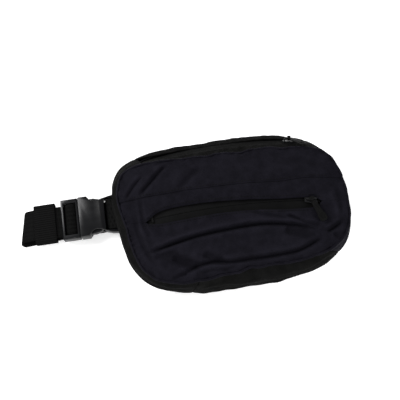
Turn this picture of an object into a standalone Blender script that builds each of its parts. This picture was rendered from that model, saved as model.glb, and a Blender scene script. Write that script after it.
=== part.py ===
"""Waist pack with a webbing belt, lying on its back with the front panel up.

X runs along the bag, Y towards its top edge with the main zip, Z up out of the
front panel. The origin is on the floor, under the middle of the bag and belt.
"""

import math

import bmesh
import bpy
from mathutils import Matrix, Vector

MM = 0.001

# Driving dimensions
BAG_LENGTH = 184 * MM
BAG_HEIGHT = 116 * MM
BELT_REACH = 165.5 * MM  # from the bag's middle to the belt's left fold
BELT_Y = 15.5 * MM  # the belt's middle line above the bag's middle line
GAP = 0.3 * MM  # clearance between touching pieces

WEBBING_WIDTH = 25.4 * MM
WEBBING_THICKNESS = 1.2 * MM
LAYER_PITCH = WEBBING_THICKNESS + GAP
STORED_LAYERS = 5  # belt layers under the bag, the lowest one on the floor

FABRIC = 1.2 * MM
THIN_FABRIC = 0.7 * MM
BINDING_RADIUS = 1.1 * MM
FOAM = 2.6 * MM

ZIP_TAPE_WIDTH = 6.2 * MM
ZIP_TAPE_THICKNESS = 0.7 * MM
ZIP_SLOT_HALF = 4.6 * MM
ZIP_COIL_RADIUS = 1.1 * MM

BAG_X = (BELT_REACH - BAG_LENGTH / 2) / 2
CHANNEL_HEIGHT = STORED_LAYERS * LAYER_PITCH + 0.1 * MM
CHANNEL_FLAT = WEBBING_WIDTH / 2 + 1.1 * MM
CHANNEL_EDGE = CHANNEL_FLAT + 4.5 * MM
WALL_EDGE = CHANNEL_FLAT + 10.5 * MM  # the side walls rise over the channel more gently
CHANNEL_OFFSET = 0.9  # sideways growth of the channel for each unit of height above it
CHANNEL_FULL_Z = 6 * MM  # the channel's lift is full up to here and gone at the next height
CHANNEL_GONE_Z = 27 * MM

# Body sections: height, half length, half height, and the shift of the middle
SECTIONS = (
    (0.0 * MM, 78.0 * MM, 45.5 * MM, -1.0 * MM),
    (2.6 * MM, 82.5 * MM, 50.0 * MM, -0.5 * MM),
    (9.0 * MM, 87.6 * MM, 55.2 * MM, 0.0 * MM),
    (18.0 * MM, 92.0 * MM, 58.0 * MM, 0.0 * MM),
    (28.0 * MM, 90.0 * MM, 55.5 * MM, -2.5 * MM),
    (36.0 * MM, 86.0 * MM, 51.5 * MM, -6.2 * MM),
    (41.0 * MM, 82.3 * MM, 48.3 * MM, -9.5 * MM),
)
REAR_SEAM_Z = 2.6 * MM
GUSSET_LOW_Z = 4.2 * MM
GUSSET_HIGH_Z = 39.2 * MM
FRONT_SEAM_Z = 41.0 * MM
ZIP_WINDOW_LOW_Z = 25.2 * MM
ZIP_WINDOW_HIGH_Z = 33.6 * MM
CROWN = 6.6 * MM  # the front panel's middle above its seam
CROWN_POWER = 2.2

# Squareness of the outline's corners, in the order of the quadrants
CORNER_POWERS = (3.0, 3.7, 3.0, 2.9)

MAIN_ZIP_Z = 29.2 * MM
MAIN_ZIP_SLOPE = math.radians(40)  # of the top gusset's normal above level

COLOURS = {
    "front_nylon": (0.010, 0.0095, 0.014, 0.75, 0.0),
    "gusset_nylon": (0.0115, 0.0115, 0.0112, 0.7, 0.0),
    "lining": (0.02, 0.02, 0.022, 0.8, 0.0),
    "foam": (0.03, 0.03, 0.03, 0.9, 0.0),
    "zip_tape": (0.008, 0.008, 0.008, 0.4, 0.0),
    "zip_coil": (0.01, 0.01, 0.01, 0.45, 0.0),
    "zip_metal": (0.05, 0.05, 0.055, 0.35, 0.9),
    "pull_rubber": (0.015, 0.015, 0.015, 0.6, 0.0),
    "webbing": (0.0075, 0.0075, 0.0075, 0.65, 0.0),
    "buckle_plastic": (0.013, 0.014, 0.016, 0.3, 0.0),
}

PARTS = None
CUTTERS = None


# ---------------------------------------------------------------- scene helpers


def clear_scene():
    for old in list(bpy.data.objects):
        bpy.data.objects.remove(old, do_unlink=True)
    for old in list(bpy.data.collections):
        bpy.data.collections.remove(old)


def new_collection(name):
    collection = bpy.data.collections.new(name)
    bpy.context.scene.collection.children.link(collection)
    return collection


def material(slot):
    found = bpy.data.materials.get(slot)
    if found:
        return found
    red, green, blue, roughness, metallic = COLOURS[slot]
    made = bpy.data.materials.new(slot)
    made.use_nodes = True
    shader = made.node_tree.nodes["Principled BSDF"]
    shader.inputs["Base Color"].default_value = (red, green, blue, 1.0)
    shader.inputs["Roughness"].default_value = roughness
    shader.inputs["Metallic"].default_value = metallic
    return made


def add_object(name, data, slot, collection=None):
    made = bpy.data.objects.new(name, data)
    (collection or PARTS).objects.link(made)
    if slot:
        data.materials.append(material(slot))
    return made


def add_cutter(name, data):
    made = add_object(name, data, None, CUTTERS)
    made.hide_render = True
    made.display_type = "WIRE"
    return made


def empty_at(name, position):
    made = bpy.data.objects.new(name, None)
    made.location = position
    PARTS.objects.link(made)
    return made


def hang_on(child, parent):
    """Parent child to an empty and leave it where it is."""
    child.parent = parent
    child.matrix_parent_inverse = Matrix.Translation(parent.location).inverted()


def mesh_from(bm, name):
    bmesh.ops.recalc_face_normals(bm, faces=bm.faces)
    mesh = bpy.data.meshes.new(name)
    bm.to_mesh(mesh)
    bm.free()
    return mesh


def smooth(mesh, degrees=40):
    mesh.shade_smooth()
    mesh.set_sharp_from_angle(angle=math.radians(degrees))


def solidify(target, thickness, offset):
    thick = target.modifiers.new("thickness", "SOLIDIFY")
    thick.thickness = thickness
    thick.offset = offset
    thick.use_even_offset = True
    return thick


def bevel(target, width, segments=2):
    rounding = target.modifiers.new("rounding", "BEVEL")
    rounding.width = width
    rounding.segments = segments
    rounding.limit_method = "ANGLE"
    rounding.angle_limit = math.radians(40)
    return rounding


def cut(target, cutter, operation="DIFFERENCE"):
    change = target.modifiers.new(cutter.name, "BOOLEAN")
    change.operation = operation
    change.solver = "EXACT"
    change.object = cutter


def grid_mesh(name, rows, closed=False):
    """A loft through rows of points with equal counts, closed round if asked."""
    bm = bmesh.new()
    grid = [[bm.verts.new(point) for point in row] for row in rows]
    for low, high in zip(grid, grid[1:]):
        count = len(low)
        for i in range(count if closed else count - 1):
            j = (i + 1) % count
            bm.faces.new((low[i], low[j], high[j], high[i]))
    mesh = bpy.data.meshes.new(name)
    bm.to_mesh(mesh)
    bm.free()
    smooth(mesh)
    return mesh


def box_mesh(name, low, high):
    bm = bmesh.new()
    bmesh.ops.create_cube(bm, size=1.0)
    low, high = Vector(low), Vector(high)
    bmesh.ops.scale(bm, vec=high - low, verts=bm.verts)
    bmesh.ops.translate(bm, vec=(low + high) / 2, verts=bm.verts)
    return mesh_from(bm, name)


def prism_mesh(name, outline, low, high, upright="Z"):
    """A flat outline pushed from low to high along Z, or along Y for one in X and Z."""
    bm = bmesh.new()
    if upright == "Z":
        verts = [bm.verts.new((u, v, low)) for u, v in outline]
        push = Vector((0, 0, high - low))
    else:
        verts = [bm.verts.new((u, low, v)) for u, v in outline]
        push = Vector((0, high - low, 0))
    base = bm.faces.new(verts)
    raised = bmesh.ops.extrude_face_region(bm, geom=[base])["geom"]
    moved = [item for item in raised if isinstance(item, bmesh.types.BMVert)]
    bmesh.ops.translate(bm, vec=push, verts=moved)
    return mesh_from(bm, name)


def rod_mesh(name, start, end, radius, segments=14):
    bm = bmesh.new()
    start, end = Vector(start), Vector(end)
    along = end - start
    bmesh.ops.create_cone(
        bm,
        cap_ends=True,
        segments=segments,
        radius1=radius,
        radius2=radius,
        depth=along.length,
        matrix=Matrix.Translation((start + end) / 2) @ along.to_track_quat("Z", "Y").to_matrix().to_4x4(),
    )
    mesh = mesh_from(bm, name)
    smooth(mesh)
    return mesh


def tube(name, points, radius, slot, closed):
    curve = bpy.data.curves.new(name, "CURVE")
    curve.dimensions = "3D"
    curve.bevel_depth = radius
    curve.bevel_resolution = 1
    curve.use_fill_caps = True
    line = curve.splines.new("POLY")
    line.points.add(len(points) - 1)
    for point, place in zip(line.points, points):
        point.co = (*place, 1.0)
    line.use_cyclic_u = closed
    line.use_smooth = True
    return add_object(name, curve, slot)


def arc_points(centre, radius, start_degrees, end_degrees, count):
    """Points on an arc in a plane, as pairs."""
    found = []
    for i in range(count + 1):
        angle = math.radians(start_degrees + (end_degrees - start_degrees) * i / count)
        found.append((centre[0] + radius * math.cos(angle), centre[1] + radius * math.sin(angle)))
    return found


# ---------------------------------------------------------------- body surface


def section_at(z):
    """Half length, half height and middle shift of the body at height z."""
    if z <= SECTIONS[0][0]:
        return SECTIONS[0][1:]
    for low, high in zip(SECTIONS, SECTIONS[1:]):
        if z <= high[0]:
            share = (z - low[0]) / (high[0] - low[0])
            return tuple(a + (b - a) * share for a, b in zip(low[1:], high[1:]))
    return SECTIONS[-1][1:]


def corner_power(angle):
    quadrant = int((angle % math.tau) // (math.pi / 2))
    return CORNER_POWERS[quadrant]


def outline_point(angle, half_x, half_y, middle_y):
    c, s = math.cos(angle), math.sin(angle)
    n = corner_power(angle)
    reach = (abs(c / half_x) ** n + abs(s / half_y) ** n) ** (-1 / n)
    return BAG_X + reach * c, middle_y + reach * s


def channel_lift(y, edge=CHANNEL_EDGE, widening=0.0):
    """How far the belt channel raises the back at y."""
    away = abs(y - BELT_Y) - widening
    if away >= edge:
        return 0.0
    if away <= CHANNEL_FLAT:
        return CHANNEL_HEIGHT
    return CHANNEL_HEIGHT * (edge - away) / (edge - CHANNEL_FLAT)


def body_point(angle, z, inset=0.0):
    """A point of the side walls, raised where the belt channel passes through them."""
    half_x, half_y, middle_y = section_at(z)
    x, y = outline_point(angle, half_x - inset, half_y - inset, middle_y)
    seam_y = outline_point(angle, *section_at(REAR_SEAM_Z))[1]
    fade = (CHANNEL_GONE_Z - z) / (CHANNEL_GONE_Z - CHANNEL_FULL_Z)
    return Vector((x, y, z + channel_lift(seam_y, WALL_EDGE) * max(0.0, min(1.0, fade))))


def outline_share(x, y, half_x, half_y, middle_y):
    """0 at the middle of an outline, 1 on it."""
    dx, dy = x - BAG_X, y - middle_y
    n = corner_power(math.atan2(dy, dx))
    return (abs(dx / half_x) ** n + abs(dy / half_y) ** n) ** (1 / n)


def crown_height(x, y):
    """The front panel's outer surface."""
    share = min(1.0, outline_share(x, y, *section_at(FRONT_SEAM_Z)))
    return FRONT_SEAM_Z + CROWN * (1 - share**CROWN_POWER)


def angle_at(x, upper=True):
    """The outline angle whose point is x from the bag's middle, at mid height."""
    low, high = (0.0, math.pi) if upper else (math.pi, math.tau)
    for _ in range(40):
        middle = (low + high) / 2
        found = outline_point(middle, *section_at(MAIN_ZIP_Z))[0] - BAG_X
        if (found > x) == upper:
            low = middle
        else:
            high = middle
    return (low + high) / 2


def channel_angles():
    """The outline angles where the side walls bend at the belt channel."""
    found = []
    for y in (BELT_Y - WALL_EDGE, BELT_Y - CHANNEL_FLAT, BELT_Y + CHANNEL_FLAT, BELT_Y + WALL_EDGE):
        for left in (False, True):
            low, high = -math.pi / 2, math.pi / 2
            for _ in range(40):
                middle = (low + high) / 2
                angle = math.pi - middle if left else middle
                if outline_point(angle, *section_at(REAR_SEAM_Z))[1] < y:
                    low = middle
                else:
                    high = middle
            found.append(math.pi - low if left else low)
    return found


def angles_between(start, end):
    """Outline angles on a shared grid, with every bend of the walls among them."""
    step = math.tau / 52
    bends = [angle + turn for angle in channel_angles() for turn in (0.0, math.tau)]
    fixed = [start, end] + [angle for angle in bends if start < angle < end]
    spread = [i * step for i in range(math.ceil(start / step), math.floor(end / step) + 1)]
    free = [angle for angle in spread if all(abs(angle - other) > 0.35 * step for other in fixed)]
    return sorted(fixed + free)


def gusset_strip(name, start, end, low_z, high_z, slot, inset=0.0, thickness=FABRIC):
    """A piece of the side wall between two outline angles and two heights."""
    levels = max(2, round((high_z - low_z) / (5 * MM)))
    heights = [low_z + (high_z - low_z) * i / levels for i in range(levels + 1)]
    closed = abs(end - start) >= math.tau - 1e-6
    angles = angles_between(start, end)
    if closed:
        angles = angles[:-1]
    rows = [[body_point(a, z, inset) for a in angles] for z in heights]
    strip = add_object(name, grid_mesh(name, rows, closed), slot)
    solidify(strip, thickness, -1)
    return strip


def seam_ring(name, z, slot):
    points = [body_point(angle, z) for angle in angles_between(0.0, math.tau)[:-1]]
    return tube(name, points, BINDING_RADIUS, slot, True)


def sheet_rows(half_x, half_y, middle_y, heights, columns):
    """Rows of points across an outline, at the given y values."""
    rows = []
    for y in heights:
        edge = abs((y - middle_y) / half_y)
        row = []
        for i in range(columns + 1):
            side = -1 if i < columns / 2 else 1
            n = corner_power(math.atan2(y - middle_y, side))
            half = half_x * (1 - edge**n) ** (1 / n)
            share = 2 * i / columns - 1
            row.append((BAG_X + half * share, y))
        rows.append(row)
    return rows


def back_rows_y(half_y, middle_y, widening):
    """Row positions across the back, closer together at the belt channel."""
    low, high = middle_y - half_y * 0.985, middle_y + half_y * 0.985
    flat, edge = CHANNEL_FLAT + widening, CHANNEL_EDGE + widening
    channel = [BELT_Y - edge, BELT_Y - flat, BELT_Y + flat, BELT_Y + edge]
    lower = [low + (channel[0] - low) * i / 6 for i in range(6)]
    upper = [channel[3] + (high - channel[3]) * (i + 1) / 4 for i in range(4)]
    return lower + channel + upper


def back_sheet(name, slot, inset, height, thickness):
    """A sheet that follows the back's inside, with its lower face at the given height."""
    half_x, half_y, middle_y = section_at(REAR_SEAM_Z)
    half_x, half_y = half_x - inset, half_y - inset
    flat_share = 0.94
    widening = height * CHANNEL_OFFSET
    rows = []
    for row in sheet_rows(half_x, half_y, middle_y, back_rows_y(half_y, middle_y, widening), 16):
        made = []
        for x, y in row:
            share = outline_share(x, y, half_x, half_y, middle_y)
            rise = 1.4 * MM * max(0.0, (share - flat_share) / (1 - flat_share)) ** 2
            made.append(Vector((x, y, height + max(channel_lift(y, widening=widening), rise))))
        rows.append(made)
    sheet = add_object(name, grid_mesh(name, rows), slot)
    solidify(sheet, thickness, 1)
    return sheet


# ---------------------------------------------------------------- zip tracks


class ZipTrack:
    """A circular arc through two ends, bowed to one side, that a slider follows."""

    def __init__(self, start, end, bow, up):
        start, end, bow = Vector(start), Vector(end), Vector(bow)
        chord = end - start
        half = chord.length / 2
        outward = (bow - chord.normalized() * bow.dot(chord.normalized())).normalized()
        rise = bow.length
        self.radius = (half * half + rise * rise) / (2 * rise)
        self.centre = (start + end) / 2 + outward * (rise - self.radius)
        self.outward = outward
        self.along = chord.normalized()
        self.axis = self.along.cross(self.outward)
        self.limit = math.asin(half / self.radius)
        self.up = Vector(up).normalized()

    def turn(self, angle):
        """The rotation that carries the arc's middle to the given angle towards its end."""
        return Matrix.Rotation(-angle, 4, self.axis)

    def frame(self, angle):
        """Along, across, and up at an angle, as a matrix with the point as its origin."""
        turn = self.turn(angle).to_3x3()
        along = turn @ self.along
        up = turn @ self.up
        across = up.cross(along).normalized()
        point = self.centre + turn @ (self.outward * self.radius)
        made = Matrix((along, across, up)).transposed().to_4x4()
        made.translation = point
        return made

    def angles(self, count, start=None, end=None):
        start = -self.limit if start is None else start
        end = self.limit if end is None else end
        return [start + (end - start) * i / count for i in range(count + 1)]


def on_bag(x, y, z):
    return Vector((BAG_X + x, y, z))


def main_zip_track():
    return ZipTrack(
        start=on_bag(-62 * MM, 44.3 * MM, MAIN_ZIP_Z),
        end=on_bag(60 * MM, 42.7 * MM, MAIN_ZIP_Z),
        bow=(0, 5.4 * MM, 0),
        up=(0, math.cos(MAIN_ZIP_SLOPE), math.sin(MAIN_ZIP_SLOPE)),
    )


def pocket_zip_track():
    return ZipTrack(
        start=on_bag(-60 * MM, -5.2 * MM, 42.2 * MM),
        end=on_bag(66 * MM, -9.2 * MM, 41.6 * MM),
        bow=(0, 3.0 * MM, 3.3 * MM),
        up=(0, 0, 1),
    )


def slider_rest_angle(track):
    return track.limit - 7.4 * MM / track.radius


def zip_tape(name, track, side):
    """One tape of a zip: side is 1 above the track's middle and -1 below it."""
    inner, outer = 0.15 * MM * side, ZIP_TAPE_WIDTH * side
    rows = [[], []]
    for angle in track.angles(20):
        frame = track.frame(angle)
        rows[0].append(frame @ Vector((0, inner, 0)))
        rows[1].append(frame @ Vector((0, outer, 0)))
    if side < 0:
        rows.reverse()
    tape = add_object(name, grid_mesh(name, rows), "zip_tape")
    solidify(tape, ZIP_TAPE_THICKNESS, -1)
    return tape


def zip_coil(name, track):
    depth = ZIP_TAPE_THICKNESS + GAP + ZIP_COIL_RADIUS
    margin = 3 * MM / track.radius
    angles = track.angles(24, -track.limit + margin, track.limit - margin)
    points = [track.frame(angle) @ Vector((0, 0, -depth)) for angle in angles]
    return tube(name, points, ZIP_COIL_RADIUS, "zip_coil", False)


def zip_end_stop(name, track, end):
    """A small clamped stop across the tapes. end is 1 where the closed slider rests, or -1."""
    frame = track.frame(end * (track.limit - 1.2 * MM / track.radius))
    stop = box_mesh(name, (-0.8 * MM, -2.5 * MM, GAP), (0.8 * MM, 2.5 * MM, 1.1 * MM))
    made = add_object(name, stop, "zip_metal")
    made.matrix_world = frame
    return made


SLIDER_LENGTH = 9.4 * MM
SLIDER_WIDTH = 6.0 * MM
SLIDER_BODY = 1.9 * MM
BRIDGE_HEIGHT = 4.3 * MM  # of the bridge bar's middle above the tapes
BRIDGE_RADIUS = 0.6 * MM
BRIDGE_HALF = 3.1 * MM
PULL_STRIP = 11.5 * MM
PULL_PADDLE = 5.6 * MM
PULL_EYE_INNER = 0.95 * MM
PULL_EYE_OUTER = 1.8 * MM


def slider_mesh(name):
    """A slider's body with its bridge, in the track's frame. Along is X, up is Z."""
    bm = bmesh.new()
    body = Matrix.Translation((0, 0, GAP + SLIDER_BODY / 2)) @ Matrix.Diagonal(
        (SLIDER_LENGTH, SLIDER_WIDTH, SLIDER_BODY, 1)
    )
    bmesh.ops.create_cube(bm, size=1.0, matrix=body)
    ends = [v for v in bm.verts if v.co.x < 0]
    bmesh.ops.scale(bm, vec=(1, 0.62, 1), verts=ends)
    return mesh_from(bm, name)


def bridge_cutter(name, place):
    """The bridge as one bar with two posts, to be joined to the slider's body."""
    top = BRIDGE_HEIGHT + BRIDGE_RADIUS
    low = SLIDER_BODY - 0.3 * MM
    outline = [
        (-BRIDGE_HALF - 0.6 * MM, low),
        (-BRIDGE_HALF - 0.6 * MM, top - 0.5 * MM),
        (-BRIDGE_HALF + 0.1 * MM, top),
        (BRIDGE_HALF - 0.1 * MM, top),
        (BRIDGE_HALF + 0.6 * MM, top - 0.5 * MM),
        (BRIDGE_HALF + 0.6 * MM, low),
        (BRIDGE_HALF - 0.4 * MM, low),
        (BRIDGE_HALF - 0.4 * MM, top - 2 * BRIDGE_RADIUS),
        (-BRIDGE_HALF + 0.4 * MM, top - 2 * BRIDGE_RADIUS),
        (-BRIDGE_HALF + 0.4 * MM, low),
    ]
    mesh = prism_mesh(name, outline, -BRIDGE_RADIUS, BRIDGE_RADIUS, upright="Y")
    made = add_cutter(name, mesh)
    made.matrix_world = place
    return made


def zip_slider(name, track, pivot):
    place = track.frame(slider_rest_angle(track))
    slider = add_object(name, slider_mesh(name), "zip_metal")
    slider.matrix_world = place
    cut(slider, bridge_cutter(name + "_bridge", place), "UNION")
    bevel(slider, 0.25 * MM, 1)
    hang_on(slider, pivot)
    return slider


def pull_outline(skew):
    """The pull's flat shape from the bridge outwards, along -Y and skewed towards +X."""
    strip, paddle = PULL_STRIP, PULL_STRIP + PULL_PADDLE
    neck, half, wide = 0.8 * MM, 1.6 * MM, 3.0 * MM
    start = PULL_EYE_OUTER - 0.5 * MM
    right = [(neck, -start), (neck, -4.2 * MM), (half, -5.4 * MM), (half, -strip + 1 * MM)]
    right += [(wide, -strip - 0.6 * MM), (wide, -paddle + 1.2 * MM), (wide - 1.2 * MM, -paddle)]
    shape = right + [(-x, y) for x, y in reversed(right)]
    c, s = math.cos(skew), math.sin(skew)
    return [(x * c - y * s, x * s + y * c) for x, y in shape]


def zip_pull(name, track, pivot, skew, droop):
    """A pull whose eye is round the bridge bar, lying down towards the track's lower side."""
    frame = track.frame(slider_rest_angle(track)) @ Matrix.Translation((0, 0, BRIDGE_HEIGHT))
    tip = Matrix.Rotation(droop, 4, "X")
    mesh = prism_mesh(name, pull_outline(skew), -0.6 * MM, 0.6 * MM)
    pull = add_object(name, mesh, "pull_rubber")
    pull.matrix_world = frame @ tip
    bevel(pull, 0.3 * MM, 1)
    eye = add_cutter(name + "_eye", rod_mesh(name + "_eye", (-1.3 * MM, 0, 0), (1.3 * MM, 0, 0), PULL_EYE_OUTER))
    eye.matrix_world = frame @ tip
    hole = add_cutter(name + "_hole", rod_mesh(name + "_hole", (-3 * MM, 0, 0), (3 * MM, 0, 0), PULL_EYE_INNER))
    hole.matrix_world = frame @ tip
    cut(pull, eye, "UNION")
    cut(pull, hole)
    hang_on(pull, pivot)
    return pull


def zip_set(prefix, track, sides, skew, droop):
    """Tapes, coil, stops, slider and pull of one zip."""
    zip_tape(f"{prefix}_zip_tape_{sides[0]}", track, 1)
    zip_tape(f"{prefix}_zip_tape_{sides[1]}", track, -1)
    zip_coil(f"{prefix}_zip_coil", track)
    zip_end_stop(f"{prefix}_zip_stop_left", track, -1)
    zip_end_stop(f"{prefix}_zip_stop_right", track, 1)
    track_pivot = empty_at(f"{prefix}_zip_track_centre", track.centre)
    zip_slider(f"{prefix}_zip_slider", track, track_pivot)
    bar = track.frame(slider_rest_angle(track)) @ Vector((0, 0, BRIDGE_HEIGHT))
    zip_pull(f"{prefix}_zip_pull", track, empty_at(f"{prefix}_zip_bridge_bar", bar), skew, droop)


# ---------------------------------------------------------------- bag pieces


def yoke_seam_y(x):
    """The seam between the yoke and the pocket's facing, x from the bag's middle."""
    return 14.6 * MM - 0.055 * x - (x * x) / (2 * 900 * MM)


def track_y(track, x, offset):
    """The track's y at x from the bag's middle, moved across by offset."""
    angle = math.asin(max(-0.99, min(0.99, (x + BAG_X - track.centre.x) / track.radius)))
    limit = track.limit
    point = track.frame(max(-limit, min(limit, angle))) @ Vector((0, offset, 0))
    return point.y


def slot_edge(track, side):
    """The pocket slot's edge as a function of x, closing to a seam past the zip's ends."""

    def edge(x):
        ends = (-60 * MM, 66 * MM)
        past = max(ends[0] - x, x - ends[1], 0.0)
        open_share = max(0.0, 1 - past / (1.5 * MM))
        return track_y(track, x, side * (0.2 * MM + (ZIP_SLOT_HALF - 0.2 * MM) * open_share))

    return edge


def region_prism(name, low_edge, high_edge):
    """A prism over the front panel between two edges given as functions of x."""
    reach = 95 * MM
    fine = [x * MM for x in (-62, -61.5, -60.8, -60, -50, -38, -25, -12, 0, 12, 25, 38, 50, 60, 66, 66.8, 67.5, 68)]
    stations = [-reach, -80 * MM, *fine, 80 * MM, reach]
    lower = [(BAG_X + x, low_edge(x)) for x in stations]
    upper = [(BAG_X + x, high_edge(x)) for x in reversed(stations)]
    return add_cutter(name, prism_mesh(name, lower + upper, 30 * MM, 60 * MM))


def front_shell_mesh(name):
    """The whole front panel as rings from its seam inwards."""
    columns = 52
    half_x, half_y, middle_y = section_at(FRONT_SEAM_Z)
    inset = BINDING_RADIUS + 2 * GAP
    rows = []
    for share in (1.0, 0.9, 0.76, 0.56, 0.3):
        row = []
        for i in range(columns):
            angle = math.tau * i / columns
            x, y = outline_point(angle, (half_x - inset) * share, (half_y - inset) * share, middle_y)
            row.append(Vector((x, y, crown_height(x, y))))
        rows.append(row)
    bm = bmesh.new()
    grid = [[bm.verts.new(point) for point in row] for row in rows]
    for outer, inner in zip(grid, grid[1:]):
        for i in range(columns):
            j = (i + 1) % columns
            bm.faces.new((outer[i], outer[j], inner[j], inner[i]))
    bm.faces.new(grid[-1])
    lower = bmesh.ops.duplicate(bm, geom=list(bm.faces))["geom"]
    bmesh.ops.reverse_faces(bm, faces=[f for f in lower if isinstance(f, bmesh.types.BMFace)])
    under = [v for v in lower if isinstance(v, bmesh.types.BMVert)]
    bmesh.ops.translate(bm, vec=(0, 0, -FABRIC), verts=under)
    rims = [edge for edge in bm.edges if edge.is_boundary]
    bmesh.ops.bridge_loops(bm, edges=rims)
    mesh = mesh_from(bm, name)
    smooth(mesh)
    return mesh


def front_panels():
    track = pocket_zip_track()
    outside = 75 * MM
    upper_slot, lower_slot = slot_edge(track, 1), slot_edge(track, -1)
    regions = {
        "front_yoke": (lambda x: yoke_seam_y(x) + GAP / 2, lambda x: outside),
        "front_pocket_facing": (upper_slot, lambda x: yoke_seam_y(x) - GAP / 2),
        "front_lower_panel": (lambda x: -outside, lower_slot),
    }
    for name, (low_edge, high_edge) in regions.items():
        panel = add_object(name, front_shell_mesh(name), "front_nylon")
        cut(panel, region_prism(name + "_region", low_edge, high_edge), "INTERSECT")


def pocket_backing():
    """The front pocket's back wall, behind the front panel."""
    half_x, half_y, middle_y = section_at(36 * MM)
    inset = 3.4 * MM
    middle = [middle_y + (half_y - inset) * 0.985 * (2 * i / 10 - 1) for i in range(11)]
    rows = []
    for row in sheet_rows(half_x - inset, half_y - inset, middle_y, middle, 12):
        rows.append([Vector((x, y, 33.9 * MM)) for x, y in row])
    sheet = add_object("pocket_backing", grid_mesh("pocket_backing", rows), "lining")
    solidify(sheet, THIN_FABRIC, -1)


def interior_mesh_pocket():
    """A flat pocket panel inside, just in front of the back lining."""
    half_x, half_y, middle_y = 74 * MM, 40 * MM, -6 * MM
    middle = [middle_y + half_y * 0.985 * (2 * i / 6 - 1) for i in range(7)]
    rows = []
    for row in sheet_rows(half_x, half_y, middle_y, middle, 10):
        rows.append([Vector((x, y, 15.2 * MM)) for x, y in row])
    sheet = add_object("interior_mesh_pocket", grid_mesh("interior_mesh_pocket", rows), "lining")
    solidify(sheet, THIN_FABRIC, -1)


def gussets():
    seam = 0.2 * MM / (BAG_HEIGHT / 2)
    zip_right = angle_at(63.5 * MM)
    zip_left = angle_at(-65.5 * MM)
    wing_top = math.radians(3)
    wing_low = math.radians(-31)
    bottom_left = angle_at(-36 * MM, upper=False)
    low, high = GUSSET_LOW_Z, GUSSET_HIGH_Z
    gusset_strip("top_gusset_front", zip_right + seam, zip_left - seam, ZIP_WINDOW_HIGH_Z, high, "gusset_nylon")
    gusset_strip("top_gusset_rear", zip_right + seam, zip_left - seam, low, ZIP_WINDOW_LOW_Z, "gusset_nylon")
    gusset_strip("side_gusset_left", zip_left + seam, bottom_left - seam, low, high, "gusset_nylon")
    gusset_strip("bottom_gusset", bottom_left + seam, math.tau + wing_low - seam, low, high, "gusset_nylon")
    gusset_strip("right_side_wing", wing_low + seam, wing_top - seam, low, high, "front_nylon")
    gusset_strip("side_gusset_right", wing_top + seam, zip_right - seam, low, high, "gusset_nylon")


def bag_body():
    back_sheet("back_panel", "gusset_nylon", BINDING_RADIUS + 4 * GAP, 0.0, FABRIC)
    back_sheet("back_foam_pad", "foam", 4 * MM, FABRIC + GAP, FOAM)
    back_sheet("back_lining", "lining", 5 * MM, FABRIC + FOAM + 2 * GAP, THIN_FABRIC)
    gusset_strip("lining_wall", 0.0, math.tau, 8.5 * MM, 23.5 * MM, "lining", 2.6 * MM, THIN_FABRIC)
    gussets()
    seam_ring("rear_binding", REAR_SEAM_Z, "gusset_nylon")
    seam_ring("front_binding", FRONT_SEAM_Z, "gusset_nylon")
    front_panels()
    pocket_backing()
    interior_mesh_pocket()


# ---------------------------------------------------------------- belt and buckle

BUCKLE_HALF = 16.5 * MM
FRAME_LEFT = -132.8 * MM  # from the bag's middle, like the next lengths
BUCKLE_SPLIT = -118.7 * MM
BUCKLE_RIGHT = -88.9 * MM
FRAME_LOW, FRAME_HIGH = 2.6 * MM, 10.4 * MM
HOUSING_LOW, HOUSING_HIGH = 1.7 * MM, 11.8 * MM
CAVITY_HALF = 14.9 * MM
CAVITY_LOW, CAVITY_HIGH = 4.1 * MM, 9.7 * MM
CAVITY_END = -99.2 * MM
LADDER_BAR = (-128.2 * MM, -122.6 * MM, 5.7 * MM, 8.3 * MM)  # left, right, low, high
ANCHOR_BAR = (-96.0 * MM, -89.0 * MM, 4.7 * MM, 7.3 * MM)
BELT_UPPER_Z = 5.5 * MM  # middle of the layer that leads to the ladder bar
BELT_TAIL_Z = 3.9 * MM
RELEASE_TRAVEL = 28 * MM
ARM_ROOT = (-116.6 * MM, 11.0 * MM)


def belt_y(y):
    return BELT_Y + y


def ribbon(name, path, width, slot, thickness=WEBBING_THICKNESS):
    """Flat webbing along a path of pairs, x from the bag's middle and z."""
    rows = [[Vector((BAG_X + x, belt_y(side * width / 2), z)) for x, z in path] for side in (-1, 1)]
    made = add_object(name, grid_mesh(name, rows), slot)
    solidify(made, thickness, 0)
    return made


def layer_z(layer):
    """The middle height of a stored belt layer, 0 being the one on the floor."""
    return WEBBING_THICKNESS / 2 + layer * LAYER_PITCH


def straight(start, end, z, step=20 * MM):
    count = max(1, round(abs(end - start) / step))
    return [(start + (end - start) * i / count, z) for i in range(count + 1)]


STACK_LEFT, STACK_RIGHT = -72 * MM, 70 * MM
SEWN_END = 80 * MM  # the belt's sewn end, at the bag's right seam


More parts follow.
